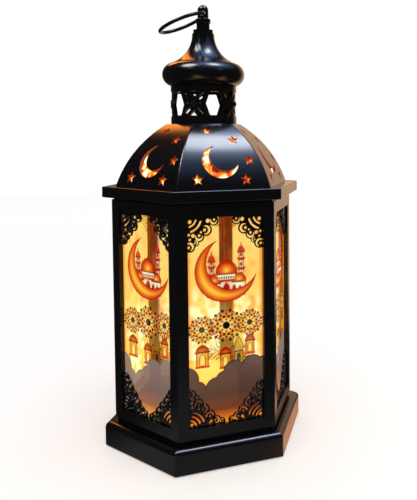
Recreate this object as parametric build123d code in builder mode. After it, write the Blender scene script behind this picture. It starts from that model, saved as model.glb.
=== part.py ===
from build123d import *
from math import acos, atan2, cos, degrees, pi, radians, sin, sqrt
import os

# A six-sided table lantern with printed windows, a pierced dome roof and a hanging ring.
# Millimetres, +Z up. The origin is the middle of the footprint on the table, the front window
# faces -Y and two corners of the plan lie on the X axis.

# Shared by many pieces
sides = 6
overrun = 1.0
slip_gap = 0.1
thread_gap = 0.1

# Rubber feet
foot_r = 4.5
foot_h = 1.6
foot_recess = 0.8
foot_inset = 8.0

# Battery cells, contacts, tray and door
cell_count = 3
cell_r = 7.25
cell_l = 50.5
cell_nub_r = 2.75
cell_nub_h = 1.0
cell_pitch_gap = 0.7
cell_side_gap = 0.5
cell_roof_gap = 0.2
cell_door_gap = 1.0
contact_t = 0.5
contact_space = 3.0
contact_inset = 0.5
contact_pad_r = 2.2
tray_wall = 1.4
tray_roof = 1.2
hatch_rim = 0.4
door_t = 1.6
door_gap = 0.2
door_seat_gap = 0.1
door_side_ledge = 2.5
door_screw_head_r = 2.2
door_screw_head_h = 0.9
door_screw_shank_r = 1.0
door_screw_l = 5.0
door_screw_boss_r = 2.2
door_screw_margin = 1.6

# Base plinth
base_corner_r = 66.0
plinth_wall = 3.0
bullnose_r = 3.3
plinth_edge_r = 0.8
neck_h = 2.3
neck_set_in = 1.3
riser_h = 4.0
riser_wall = 2.2
deck_t = 2.5

# Bottom cover and its screws
cover_t = 2.5
cover_gap = 0.25
cover_screw_count = 3
cover_screw_circle_r = 42.0
cover_screw_boss_r = 3.5
cover_screw_head_r = 3.0
cover_screw_head_h = 1.2
cover_screw_shank_r = 1.4
cover_screw_l = 12.0

# Slide switch
switch_circle_r = 41.0
switch_w = 6.5
switch_l = 13.0
switch_h = 5.0
knob_w = 3.4
knob_l = 4.0
knob_travel = 4.0
knob_gap = 0.2
knob_recess = 0.3
knob_root = 2.0
pin_w = 1.4
pin_t = 0.5
pin_h = 4.5
pin_pitch = 4.0

# Lamp
board_r = 17.0
board_t = 1.6
led_count = 3
led_r = 2.5
led_barrel_h = 4.0
led_circle_r = 7.0
led_round_share = 0.95
lamp_screw_circle_r = 13.0
lamp_screw_head_r = 2.2
lamp_screw_head_h = 1.4
lamp_screw_shank_r = 1.0
lamp_screw_l = 3.6
diffuser_r = 21.0
diffuser_wall = 1.2
diffuser_h = 20.0
diffuser_round_r = 8.0
notch_w = 4.0
notch_h = 8.0

# Wires
wire_r = 0.6
wire_hole_gap = 0.4
wire_bend_r = 3.0
wire_run_h = 5.0
wire_land_r = 12.0
wire_out = 7.0

# Side frames, printed panels and fretwork
body_corner_r = 59.5
frame_t = 3.0
frame_h = 139.3
stile_w = 6.7
top_rail_h = 7.8
bottom_rail_h = 6.8
frame_edge_break = 0.35
panel_t = 0.8
panel_lap = 4.1
panel_top_gap = 0.2
fret_t = 1.6
upper_fret_gap = 8.5
upper_fret_h = 20.5
lower_fret_gap = 1.5
lower_fret_h = 22.5

# Eave
eave_corner_r = 65.2
eave_t = 6.7
eave_neck_h = 1.4
eave_lip_h = 4.0
eave_lip_wall = 2.2
eave_edge_r = 0.6
roof_screw_head_r = 2.2
roof_screw_head_h = 1.3
roof_screw_sink = 3.5
roof_screw_shank_r = 1.2
roof_screw_l = 8.0
roof_screw_inset = 4.5
roof_screw_ledge = 3.5

# Dome roof and its liner
dome_base_corner_r = 56.9
dome_top_corner_r = 24.6
dome_h = 38.7
dome_arc_r = 71.4
dome_shell_t = 2.0
dome_top_t = 2.4
dome_rib_r = 1.2
dome_boss_r = 2.5
dome_boss_h = 7.0
crescent_r = 11.1
crescent_hollow_r = 9.4
crescent_shift = 4.0
crescent_turn = 45.0
star_points = 5
star_r = 3.8
liner_gap = 0.3
liner_t = 0.8

# Gallery ring
gallery_r = 21.1
gallery_wall = 2.6
gallery_h = 24.4
gallery_bottom_band = 5.0
gallery_top_band = 3.7
lattice_set_back = 0.4
spigot_h = 2.4
spigot_wall = 1.6
lattice_count = 5
light_w = 11.6
light_sill_w = 6.6
light_gap = 0.5
light_round_r = 0.8
knot_r = 2.7
knot_proud = 0.5
knot_hole_r = 0.6
bead_r = 1.7
bead_hole_r = 0.8
bead_circle_r = 4.1
arm_slot_l = 5.0
arm_slot_w = 1.9
arm_slot_circle_r = 6.1
gusset_w = 6.6
gusset_h = 3.4
gusset_gap = 0.3

# Onion cap
cap_h = 36.4
cap_wall = 2.0
cap_bulge_r = 7.55
cap_bulge_circle_r = 18.9
cap_flare_r = 20.05
cap_flare_circle_r = 27.1
cap_collar_r = 6.35
cap_collar_h = 2.4
cap_plug_h = 8.0
cap_spigot_h = 2.8

# Finial eye, its washer and nut
finial_neck_r = 4.2
finial_neck_h = 4.2
finial_disc_r = 4.85
finial_disc_h = 2.9
finial_disc_edge_r = 0.4
lug_r = 3.5
lug_h = 9.0
eye_hole_r = 1.7
eye_hole_up = 3.2
eye_turn = -20.0
shank_r = 2.0
shank_tail = 1.5
washer_r = 4.6
washer_t = 0.8
nut_flats = 7.0
nut_h = 3.0

# Hanging ring
ring_r = 15.0
ring_wire_r = 1.15
ring_tilt = 22.7

# Heights: the base is as high as its battery tray needs, and the rest stands on it
plinth_z = foot_h - foot_recess
cover_top_z = plinth_z + cover_t
tray_top_z = plinth_z + door_t + cell_door_gap + 2 * cell_r + cell_roof_gap + tray_roof
deck_z = tray_top_z + deck_t
frame_z = deck_z - riser_h
shelf_z = frame_z - neck_h
frame_top_z = frame_z + frame_h
eave_z = frame_top_z + eave_neck_h
eave_top_z = eave_z + eave_t
dome_top_z = eave_top_z + dome_h
gallery_top_z = dome_top_z + gallery_h
cap_top_z = gallery_top_z + cap_h
finial_disc_z = cap_top_z + finial_neck_h
lug_z = finial_disc_z + finial_disc_h
eye_z = lug_z + eye_hole_up


def apothem(corner_r):
    """Distance from the axis to a flat of a six-sided outline with this corner radius."""
    return corner_r * cos(pi / sides)


def corner(flat_r):
    """Corner radius of a six-sided outline with this distance to its flats."""
    return flat_r / cos(pi / sides)


def face_angle(k):
    """Direction of window k: 0 is the front, and they count anticlockwise seen from above."""
    return -90 + 360 / sides * k


def corner_angle(k):
    """Direction of the corner between window k and window k + 1."""
    return face_angle(k) + 180 / sides


def around(angle, r, z):
    """Point at a direction and a distance from the lantern's axis."""
    return Vector(r * cos(radians(angle)), r * sin(radians(angle)), z)


def upright(angle, r, z):
    """Plane that faces out from the axis: x to the right seen from outside, y up."""
    return Plane(origin=around(angle, r, z), x_dir=around(angle + 90, 1, 0), z_dir=around(angle, 1, 0))


def hexagon(flat_r, mode=Mode.ADD):
    """Six-sided outline by its distance to the flats."""
    RegularPolygon(radius=corner(flat_r), side_count=sides, mode=mode)


def save(builder, name):
    """Label a finished piece and write it."""
    builder.part.label = name
    export_step(builder.part, f"parts/{name}.step")


def screws(places, head_r, head_h, shank_r, shank_l):
    """A set of cross-slotted screws: each place is a plane on the seat with z along the shank."""
    slot_w = head_r / 4
    with BuildPart() as built:
        for place in places:
            with BuildSketch(place):
                Circle(head_r)
            extrude(amount=-head_h)
            with BuildSketch(place):
                Circle(shank_r)
            extrude(amount=shank_l)
            with BuildSketch(place.offset(-head_h)):
                Rectangle(head_r, slot_w)
                Rectangle(slot_w, head_r)
            extrude(amount=head_h / 2, mode=Mode.SUBTRACT)
    return built


def wire(points, bends):
    """A round wire along straight runs joined by arcs."""
    with BuildPart() as built:
        with BuildLine() as route:
            FilletPolyline(*points, radius=bends)
        with BuildSketch(Plane(origin=route.line @ 0, z_dir=route.line % 0)):
            Circle(wire_r)
        sweep(path=route.line)
    return built


os.makedirs("parts", exist_ok=True)

body_a = apothem(body_corner_r)
frame_in_a = body_a - frame_t
riser_a = frame_in_a - slip_gap
neck_a = body_a - neck_set_in
base_a = apothem(base_corner_r)
hollow_a = base_a - plinth_wall
cover_a = hollow_a - cover_gap

cell_pitch = 2 * cell_r + cell_pitch_gap
cell_z = tray_top_z - tray_roof - cell_roof_gap - cell_r
tray_in_l = cell_l + 2 * contact_space
tray_in_w = cell_pitch * (cell_count - 1) + 2 * cell_r + 2 * cell_side_gap
tray_l = tray_in_l + 2 * tray_wall
tray_w = tray_in_w + 2 * tray_wall
hatch_l = tray_in_l - 2 * hatch_rim
hatch_w = tray_in_w - 2 * hatch_rim
door_screw_x = tray_l / 2 + slip_gap + door_screw_boss_r
door_l = 2 * (door_screw_x + door_screw_head_r + door_screw_margin)
door_w = hatch_w + 2 * door_side_ledge

cover_screw_angles = [360 / cover_screw_count * k for k in range(cover_screw_count)]
cover_screw_seat_z = plinth_z + slip_gap + cover_screw_head_h
lamp_screw_angles = [90, 270]
terminal_y = cell_pitch * (cell_count - 1) / 2

# Wire routes: out of the tray or the switch, up through the deck, then in to the board
wire_z = cell_z
run_z = deck_z + wire_run_h
board_top_z = deck_z + board_t
red_rise = Vector(tray_l / 2 + wire_out, terminal_y, 0)
black_turn = Vector(-switch_circle_r, -terminal_y, 0)
switched_rise = Vector(-switch_circle_r, terminal_y, 0)
red_angle = degrees(atan2(red_rise.Y, red_rise.X))
switched_angle = degrees(atan2(switched_rise.Y, switched_rise.X))

# Base plinth
with BuildPart() as base_plinth:
    with BuildSketch(Plane.XY.offset(plinth_z)):
        hexagon(base_a)
    extrude(amount=shelf_z - plinth_z)
    fillet(base_plinth.edges().group_by(Axis.Z)[-1], bullnose_r)
    corner_edges = [edge for edge in base_plinth.edges() if abs((edge @ 1 - edge @ 0).Z) > overrun]
    fillet(corner_edges, plinth_edge_r)
    with BuildSketch(Plane.XY.offset(shelf_z)):
        hexagon(neck_a)
    extrude(amount=neck_h)
    with BuildSketch(Plane.XY.offset(frame_z)):
        hexagon(riser_a)
    extrude(amount=riser_h)
    with BuildSketch(Plane.XY.offset(plinth_z)):
        hexagon(hollow_a)
    extrude(amount=shelf_z - plinth_wall - plinth_z, mode=Mode.SUBTRACT)
    with BuildSketch(Plane.XY.offset(plinth_z)):
        hexagon(riser_a - riser_wall)
    extrude(amount=tray_top_z - plinth_z, mode=Mode.SUBTRACT)
    for angle in cover_screw_angles:
        boss = around(angle, cover_screw_circle_r, cover_top_z)
        with BuildSketch(Plane(origin=boss)):
            Circle(cover_screw_boss_r)
        extrude(amount=tray_top_z - cover_top_z)
        with BuildSketch(Plane(origin=boss)):
            Circle(cover_screw_shank_r + thread_gap)
        extrude(amount=cover_screw_seat_z + cover_screw_l + slip_gap - cover_top_z, mode=Mode.SUBTRACT)
    for angle in lamp_screw_angles:
        with BuildSketch(Plane(origin=around(angle, lamp_screw_circle_r, deck_z))):
            Circle(lamp_screw_shank_r + thread_gap)
        extrude(amount=-(lamp_screw_l - board_t + slip_gap), mode=Mode.SUBTRACT)
    for rise in (red_rise, switched_rise):
        with BuildSketch(Plane(origin=rise + Vector(0, 0, deck_z))):
            Circle(wire_r + wire_hole_gap)
        extrude(amount=-deck_t, mode=Mode.SUBTRACT)
save(base_plinth, "base_plinth")

# Bottom cover
with BuildPart() as bottom_cover:
    with BuildSketch(Plane.XY.offset(plinth_z)):
        hexagon(cover_a)
    extrude(amount=cover_t)
    with BuildSketch(Plane.XY.offset(plinth_z)):
        Rectangle(door_l + 2 * door_gap, door_w + 2 * door_gap)
    extrude(amount=door_t + door_seat_gap, mode=Mode.SUBTRACT)
    with BuildSketch(Plane.XY.offset(plinth_z)):
        Rectangle(hatch_l, hatch_w)
    extrude(amount=cover_t, mode=Mode.SUBTRACT)
    with BuildSketch(Plane.XY.offset(cover_top_z)):
        with Locations((door_screw_x, 0), (-door_screw_x, 0)):
            Circle(door_screw_boss_r)
    extrude(amount=door_screw_l - cover_t)
    with BuildSketch(Plane.XY.offset(plinth_z)):
        with Locations((door_screw_x, 0), (-door_screw_x, 0)):
            Circle(door_screw_shank_r + thread_gap)
    extrude(amount=cover_t + door_screw_l, mode=Mode.SUBTRACT)
    with BuildSketch(Plane.XY.offset(plinth_z)):
        with PolarLocations(corner(cover_a) - foot_inset, sides):
            Circle(foot_r + slip_gap)
    extrude(amount=foot_recess, mode=Mode.SUBTRACT)
    with BuildSketch(Plane.XY.offset(plinth_z)):
        with PolarLocations(cover_screw_circle_r, cover_screw_count):
            Circle(cover_screw_head_r + slip_gap)
    extrude(amount=cover_screw_seat_z - plinth_z, mode=Mode.SUBTRACT)
    with BuildSketch(Plane.XY.offset(plinth_z)):
        with PolarLocations(cover_screw_circle_r, cover_screw_count):
            Circle(cover_screw_shank_r + thread_gap)
    extrude(amount=cover_t, mode=Mode.SUBTRACT)
    with BuildSketch(Plane.XY.offset(plinth_z)):
        with Locations((-switch_circle_r, 0)):
            Rectangle(knob_w + 2 * knob_gap, knob_l + knob_travel + 2 * knob_gap)
    extrude(amount=cover_t, mode=Mode.SUBTRACT)
save(bottom_cover, "bottom_cover")

cover_seats = [Plane(origin=around(a, cover_screw_circle_r, cover_screw_seat_z)) for a in cover_screw_angles]
cover_screws = screws(
    cover_seats, cover_screw_head_r, cover_screw_head_h, cover_screw_shank_r, cover_screw_l
)
save(cover_screws, "cover_screws")

# Rubber feet
with BuildPart() as rubber_feet:
    with BuildSketch():
        with PolarLocations(corner(cover_a) - foot_inset, sides):
            Circle(foot_r)
    extrude(amount=foot_h)
save(rubber_feet, "rubber_feet")

# Battery tray: an open-bottomed box over the cells, with a hole for each terminal's wire
with BuildPart() as battery_tray:
    with BuildSketch(Plane.XY.offset(cover_top_z)):
        Rectangle(tray_l, tray_w)
    extrude(amount=tray_top_z - cover_top_z)
    with BuildSketch(Plane.XY.offset(cover_top_z)):
        Rectangle(tray_in_l, tray_in_w)
    extrude(amount=tray_top_z - tray_roof - cover_top_z, mode=Mode.SUBTRACT)
    for side, y in ((1, terminal_y), (-1, -terminal_y)):
        with BuildSketch(Plane(origin=(side * tray_in_l / 2, y, wire_z), z_dir=(side, 0, 0))):
            Circle(wire_r + wire_hole_gap)
        extrude(amount=tray_wall, mode=Mode.SUBTRACT)
save(battery_tray, "battery_tray")

# Battery cells: neighbours point opposite ways
for k in range(cell_count):
    way = 1 if k % 2 == 0 else -1
    y = terminal_y - cell_pitch * k
    with BuildPart() as battery_cell:
        with BuildSketch(Plane(origin=(-way * cell_l / 2, y, cell_z), z_dir=(way, 0, 0))):
            Circle(cell_r)
        extrude(amount=cell_l - cell_nub_h)
        with BuildSketch(Plane(origin=(way * (cell_l / 2 - cell_nub_h), y, cell_z), z_dir=(way, 0, 0))):
            Circle(cell_nub_r)
        extrude(amount=cell_nub_h)
    save(battery_cell, f"battery_cell_{k + 1}")

# Battery contacts: a plate on the end wall behind one or two cells, with a pad that meets each cell
contact_groups = [(1, [0]), (1, [1, 2]), (-1, [0, 1]), (-1, [2])]
contact_w = 2 * (cell_r - contact_inset)
with BuildPart() as battery_contacts:
    for side, cells in contact_groups:
        wall = Plane(origin=(side * tray_in_l / 2, 0, cell_z), x_dir=(0, 1, 0), z_dir=(-side, 0, 0))
        spots = [terminal_y - cell_pitch * k for k in cells]
        with BuildSketch(wall):
            with Locations(((spots[0] + spots[-1]) / 2, 0)):
                Rectangle(spots[0] - spots[-1] + contact_w, contact_w)
        extrude(amount=contact_t)
        with BuildSketch(wall):
            for spot in spots:
                with Locations((spot, 0)):
                    Circle(contact_pad_r)
        extrude(amount=contact_space)
save(battery_contacts, "battery_contacts")

# Battery door, let into the cover's underside
door_seat_z = plinth_z + slip_gap + door_screw_head_h
with BuildPart() as battery_door:
    with BuildSketch(Plane.XY.offset(plinth_z)):
        Rectangle(door_l, door_w)
    extrude(amount=door_t)
    with BuildSketch(Plane.XY.offset(plinth_z)):
        with Locations((door_screw_x, 0), (-door_screw_x, 0)):
            Circle(door_screw_head_r + slip_gap)
    extrude(amount=door_seat_z - plinth_z, mode=Mode.SUBTRACT)
    with BuildSketch(Plane.XY.offset(plinth_z)):
        with Locations((door_screw_x, 0), (-door_screw_x, 0)):
            Circle(door_screw_shank_r + thread_gap / 2)
    extrude(amount=door_t, mode=Mode.SUBTRACT)
save(battery_door, "battery_door")

door_seats = [Plane(origin=(x, 0, door_seat_z)) for x in (door_screw_x, -door_screw_x)]
door_screws = screws(door_seats, door_screw_head_r, door_screw_head_h, door_screw_shank_r, door_screw_l)
save(door_screws, "door_screws")

# Slide switch: its body stands on the cover, and its knob shows in a slot under the base
with BuildPart() as power_switch:
    with BuildSketch(Plane.XY.offset(cover_top_z)):
        with Locations((-switch_circle_r, 0)):
            Rectangle(switch_w, switch_l)
    extrude(amount=switch_h)
    with BuildSketch(Plane.XY.offset(cover_top_z)):
        with Locations((-switch_circle_r, 0)):
            Rectangle(knob_w + 2 * knob_gap, knob_l + knob_travel + 2 * knob_gap)
    extrude(amount=knob_root + knob_gap, mode=Mode.SUBTRACT)
    with BuildSketch(Plane.XY.offset(cover_top_z + switch_h)):
        for step in (-1, 0, 1):
            with Locations((-switch_circle_r, step * pin_pitch)):
                Rectangle(pin_w, pin_t)
    extrude(amount=pin_h)
save(power_switch, "power_switch")

with BuildPart() as switch_knob:
    with BuildSketch(Plane.XY.offset(plinth_z + knob_recess)):
        with Locations((-switch_circle_r, -knob_travel / 2)):
            Rectangle(knob_w, knob_l)
    extrude(amount=cover_top_z + knob_root - plinth_z - knob_recess)
save(switch_knob, "switch_knob")

# Lamp board, its screws, its lamps and the frosted cover over them
with BuildPart() as lamp_board:
    with BuildSketch(Plane.XY.offset(deck_z)):
        Circle(board_r)
        for angle in lamp_screw_angles:
            with Locations(around(angle, lamp_screw_circle_r, 0)):
                Circle(lamp_screw_shank_r + thread_gap, mode=Mode.SUBTRACT)
    extrude(amount=board_t)
save(lamp_board, "lamp_board")

lamp_seats = [
    Plane(origin=around(a, lamp_screw_circle_r, board_top_z), z_dir=(0, 0, -1)) for a in lamp_screw_angles
]
lamp_screws = screws(lamp_seats, lamp_screw_head_r, lamp_screw_head_h, lamp_screw_shank_r, lamp_screw_l)
save(lamp_screws, "lamp_screws")

with BuildPart() as lamp_leds:
    with BuildSketch(Plane.XY.offset(board_top_z)):
        with PolarLocations(led_circle_r, led_count):
            Circle(led_r)
    extrude(amount=led_barrel_h + led_r)
    fillet(lamp_leds.edges().group_by(Axis.Z)[-1], led_r * led_round_share)
save(lamp_leds, "lamp_leds")

with BuildPart() as lamp_diffuser:
    with BuildSketch(Plane.XY.offset(deck_z)):
        Circle(diffuser_r)
    extrude(amount=diffuser_h)
    fillet(lamp_diffuser.edges().group_by(Axis.Z)[-1], diffuser_round_r)
    offset(amount=-diffuser_wall, openings=lamp_diffuser.faces().sort_by(Axis.Z)[0])
    for angle in (red_angle, switched_angle):
        with BuildSketch(upright(angle, diffuser_r + overrun, deck_z)):
            Rectangle(notch_w, notch_h, align=(Align.CENTER, Align.MIN))
        extrude(amount=-(diffuser_wall + 2 * overrun), mode=Mode.SUBTRACT)
save(lamp_diffuser, "lamp_diffuser")

# Wires
plate_x = tray_in_l / 2
up = Vector(0, 0, 1)
red_points = [
    Vector(plate_x, terminal_y, wire_z),
    red_rise + up * wire_z,
    red_rise + up * run_z,
    around(red_angle, wire_land_r, run_z),
    around(red_angle, wire_land_r, board_top_z),
]
save(wire(red_points, wire_bend_r), "wire_red")

black_points = [
    Vector(-plate_x, -terminal_y, wire_z),
    black_turn + up * wire_z,
    Vector(-switch_circle_r, -(pin_pitch + pin_t / 2), wire_z),
]
save(wire(black_points, wire_bend_r), "wire_black")

switched_points = [
    Vector(-switch_circle_r, pin_pitch + pin_t / 2, wire_z),
    switched_rise + up * wire_z,
    switched_rise + up * run_z,
    around(switched_angle, wire_land_r, run_z),
    around(switched_angle, wire_land_r, board_top_z),
]
save(wire(switched_points, wire_bend_r), "wire_switched")

# Window sizes, seen in a window's own plane
window_w = body_corner_r - 2 * stile_w
window_z = frame_z + bottom_rail_h
window_h = frame_h - bottom_rail_h - top_rail_h
upper_fret_w = (window_w - upper_fret_gap) / 2
lower_fret_w = (window_w - lower_fret_gap) / 2
panel_top_z = frame_top_z - eave_lip_h - panel_top_gap

# Fretwork tables: places and radii as shares of a bracket's width and height, from the window's corner.
# A lobe's last share is the turn of its curl, and a scroll's shares are of the lobe's radius: the hole,
# the curl left standing in it, how far that curl is set to one side, and the eye in the curl.
upper_rings_shares = [
    (0.86, 0.12, 0.155, 0.16),
    (0.61, 0.37, 0.190, -0.12),
    (0.39, 0.56, 0.165, 0.14),
    (0.28, 0.73, 0.110, -0.16),
    (0.09, 0.83, 0.180, -0.22),
]
upper_holes_shares = [
    (0.10, 0.12, 0.060),
    (0.67, 0.11, 0.065),
    (0.45, 0.43, 0.035),
    (0.07, 0.49, 0.045),
    (0.20, 0.52, 0.060),
    (0.10, 0.63, 0.040),
]
upper_arcs_shares = [(0.30, 0.055), (0.46, 0.065)]
lower_rings_shares = [
    (0.90, 0.06, 0.095, 0.20),
    (0.745, 0.11, 0.130, -0.14),
    (0.575, 0.27, 0.145, 0.12),
    (0.42, 0.45, 0.150, -0.12),
    (0.27, 0.62, 0.135, 0.14),
    (0.20, 0.77, 0.100, -0.16),
    (0.07, 0.88, 0.140, -0.22),
]
lower_holes_shares = [
    (0.08, 0.08, 0.045),
    (0.60, 0.10, 0.040),
    (0.47, 0.26, 0.032),
    (0.56, 0.06, 0.025),
    (0.27, 0.47, 0.035),
    (0.10, 0.53, 0.040),
    (0.08, 0.66, 0.045),
    (0.17, 0.60, 0.028),
    (0.12, 0.745, 0.030),
]
lower_arcs_shares = [(0.20, 0.050), (0.31, 0.050), (0.42, 0.050)]
arc_reach_share = 0.30
upper_scroll_shares = (0.76, 0.58, 0.24, 0.26)
lower_scroll_shares = (0.70, 0.52, 0.24, 0.20)
upper_tables_shares = (upper_rings_shares, upper_scroll_shares, upper_holes_shares, upper_arcs_shares)
lower_tables_shares = (lower_rings_shares, lower_scroll_shares, lower_holes_shares, lower_arcs_shares)


def fret_bracket(turn_x, turn_y, width, height, rings_shares, scroll_shares, holes_shares, arcs_shares):
    """One scroll bracket in the window's corner towards (turn_x, turn_y), drawn into the open sketch."""
    corner_x = turn_x * window_w / 2
    corner_y = turn_y * window_h / 2
    hole_share, curl_share, aside_share, eye_share = scroll_shares
    outward = degrees(atan2(turn_y, turn_x))

    def spot(u, v):
        return (corner_x - turn_x * u * width, corner_y - turn_y * v * height)

    centres = [spot(u, v) for u, v, lobe, swing in rings_shares]
    first_u = rings_shares[0][0]
    last_v = rings_shares[-1][1]
    Polygon(spot(0, 0), spot(first_u, 0), *centres, spot(0, last_v), align=None)
    for u, v, lobe, swing in rings_shares:
        with Locations(spot(u, v)):
            Circle(lobe * width)
    for u, v, lobe, swing in rings_shares:
        with Locations(spot(u, v)):
            Circle(hole_share * lobe * width, mode=Mode.SUBTRACT)
    for u, v, lobe, swing in rings_shares:
        x, y = spot(u, v)
        aside = around(outward + 360 * swing * turn_x * turn_y, aside_share * lobe * width, 0)
        with Locations((x + aside.X, y + aside.Y)):
            Circle(curl_share * lobe * width)
            Circle(eye_share * lobe * width, mode=Mode.SUBTRACT)
    for u, v, hole in holes_shares:
        with Locations(spot(u, v)):
            Circle(hole * width, mode=Mode.SUBTRACT)
    inward = outward + 180
    half_turn = 90 * arc_reach_share
    for reach, band in arcs_shares:
        path = CenterArc(spot(0, 0), reach * width, inward - half_turn, 2 * half_turn, mode=Mode.PRIVATE)
        SlotArc(path, band * width, mode=Mode.SUBTRACT)


with BuildSketch() as fret_pattern:
    for turn_x in (-1, 1):
        fret_bracket(turn_x, 1, upper_fret_w, upper_fret_h, *upper_tables_shares)
        fret_bracket(turn_x, -1, lower_fret_w, lower_fret_h, *lower_tables_shares)
    Rectangle(window_w, window_h, mode=Mode.INTERSECT)

# Side frames, their printed panels and their fretwork
for k in range(sides):
    left = corner_angle(k - 1)
    right = corner_angle(k)
    with BuildPart() as side_frame:
        with BuildSketch(Plane.XY.offset(frame_z)):
            with BuildLine():
                Polyline(
                    around(left, body_corner_r, 0),
                    around(right, body_corner_r, 0),
                    around(right, corner(frame_in_a), 0),
                    around(left, corner(frame_in_a), 0),
                    close=True,
                )
            make_face()
        extrude(amount=frame_h)
        outer_face = side_frame.faces().sort_by(Axis(around(0, 0, 0), around(face_angle(k), 1, 0)))[-1]
        chamfer(outer_face.edges(), frame_edge_break)
        with BuildSketch(upright(face_angle(k), body_a, window_z + window_h / 2)):
            Rectangle(window_w, window_h)
        extrude(amount=-frame_t, mode=Mode.SUBTRACT)
    save(side_frame, f"side_frame_{k + 1}")

    with BuildPart() as printed_panel:
        with BuildSketch(upright(face_angle(k), frame_in_a, deck_z)):
            Rectangle(window_w + 2 * panel_lap, panel_top_z - deck_z, align=(Align.CENTER, Align.MIN))
        extrude(amount=-panel_t)
    save(printed_panel, f"printed_panel_{k + 1}")

    with BuildPart() as corner_fretwork:
        with BuildSketch(upright(face_angle(k), frame_in_a, window_z + window_h / 2)):
            add(fret_pattern.sketch)
        extrude(amount=fret_t)
    save(corner_fretwork, f"corner_fretwork_{k + 1}")

# Dome faces: each one is an arc, seen square to the face, about a centre low on the far side
dome_base_a = apothem(dome_base_corner_r)
dome_top_a = apothem(dome_top_corner_r)
chord = Vector(dome_top_a - dome_base_a, dome_h)
chord_way = chord.normalized()
centre_drop = sqrt(dome_arc_r ** 2 - (chord.length / 2) ** 2)
arc_centre_a = (dome_base_a + dome_top_a) / 2 - chord_way.Y * centre_drop
arc_centre_h = dome_h / 2 + chord_way.X * centre_drop


def vault_reach(height, inset):
    """Distance from the axis to a dome face at a height above the eave, inset from the outer skin."""
    return arc_centre_a + sqrt((dome_arc_r - inset) ** 2 - (height - arc_centre_h) ** 2)


# Eave plate: a neck on the frames, a lip inside them, and a ledge that carries the dome and its liner
lip_in_a = riser_a - eave_lip_wall
roof_screw_circle_r = corner(vault_reach(0, dome_shell_t)) - roof_screw_inset
eave_opening_a = apothem(roof_screw_circle_r - roof_screw_ledge)
roof_screw_seat_z = eave_z + roof_screw_sink
with BuildPart() as eave_plate:
    with BuildSketch(Plane.XY.offset(eave_z)):
        hexagon(apothem(eave_corner_r))
    extrude(amount=eave_t)
    fillet(eave_plate.edges(), eave_edge_r)
    with BuildSketch(Plane.XY.offset(eave_z)):
        hexagon(neck_a)
    extrude(amount=-eave_neck_h)
    with BuildSketch(Plane.XY.offset(frame_top_z)):
        hexagon(riser_a)
    extrude(amount=-eave_lip_h)
    with BuildSketch(Plane.XY.offset(eave_z)):
        hexagon(lip_in_a)
    extrude(amount=-(eave_neck_h + eave_lip_h), mode=Mode.SUBTRACT)
    with BuildSketch(Plane.XY.offset(eave_z)):
        hexagon(eave_opening_a)
    extrude(amount=eave_t, mode=Mode.SUBTRACT)
    with BuildSketch(Plane.XY.offset(eave_z)):
        with PolarLocations(roof_screw_circle_r, sides):
            Circle(roof_screw_head_r + slip_gap)
    extrude(amount=roof_screw_sink, mode=Mode.SUBTRACT)
    with BuildSketch(Plane.XY.offset(eave_z)):
        with PolarLocations(roof_screw_circle_r, sides):
            Circle(roof_screw_shank_r + thread_gap)
    extrude(amount=eave_t, mode=Mode.SUBTRACT)
save(eave_plate, "eave_plate")

roof_screw_places = [around(corner_angle(k), roof_screw_circle_r, roof_screw_seat_z) for k in range(sides)]
roof_seats = [Plane(origin=place) for place in roof_screw_places]
roof_screws = screws(roof_seats, roof_screw_head_r, roof_screw_head_h, roof_screw_shank_r, roof_screw_l)
save(roof_screws, "roof_screws")


def vault(top, inset):
    """Six-sided vault up from the eave's top: the overlap of three arches."""
    low = vault_reach(0, inset)
    high = vault_reach(top, inset)
    waist = vault_reach(top / 2, inset)
    with BuildPart() as built:
        for k in range(sides // 2):
            way = around(face_angle(k), 1, 0)
            arch = Plane(origin=(0, 0, eave_top_z), x_dir=way, z_dir=way.cross(Vector(0, 0, 1)))
            with BuildSketch(arch):
                with BuildLine():
                    ThreePointArc((low, 0), (waist, top / 2), (high, top))
                    Line((high, top), (-high, top))
                    ThreePointArc((-high, top), (-waist, top / 2), (-low, 0))
                    Line((-low, 0), (low, 0))
                make_face()
            extrude(amount=corner(low), both=True, mode=Mode.ADD if k == 0 else Mode.INTERSECT)
    return built.part


def star(r, waist_share):
    """Five-pointed star with a point upwards, drawn into the open sketch."""
    tips = []
    for step in range(2 * star_points):
        reach = r if step % 2 == 0 else r * waist_share
        tips.append(around(90 + 180 / star_points * step, reach, 0))
    Polygon(*tips, align=None)


# Piercings of one dome face: places as shares of half the base side and of the arc's length
star_waist_share = 0.42
crescent_place_shares = (-0.02, -0.13)
star_places_shares = [(-0.19, 0.345), (0.345, 0.185), (0.615, -0.122), (-0.55, -0.368), (0.485, -0.38)]
arc_low = atan2(-arc_centre_h, dome_base_a - arc_centre_a)
arc_high = atan2(dome_h - arc_centre_h, dome_top_a - arc_centre_a)
arc_mid = (arc_low + arc_high) / 2
arc_l = dome_arc_r * (arc_high - arc_low)
pierce_depth = 2 * dome_shell_t + dome_arc_r * (1 - cos(arc_high - arc_mid))
gallery_bore_r = gallery_r - gallery_wall

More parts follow.
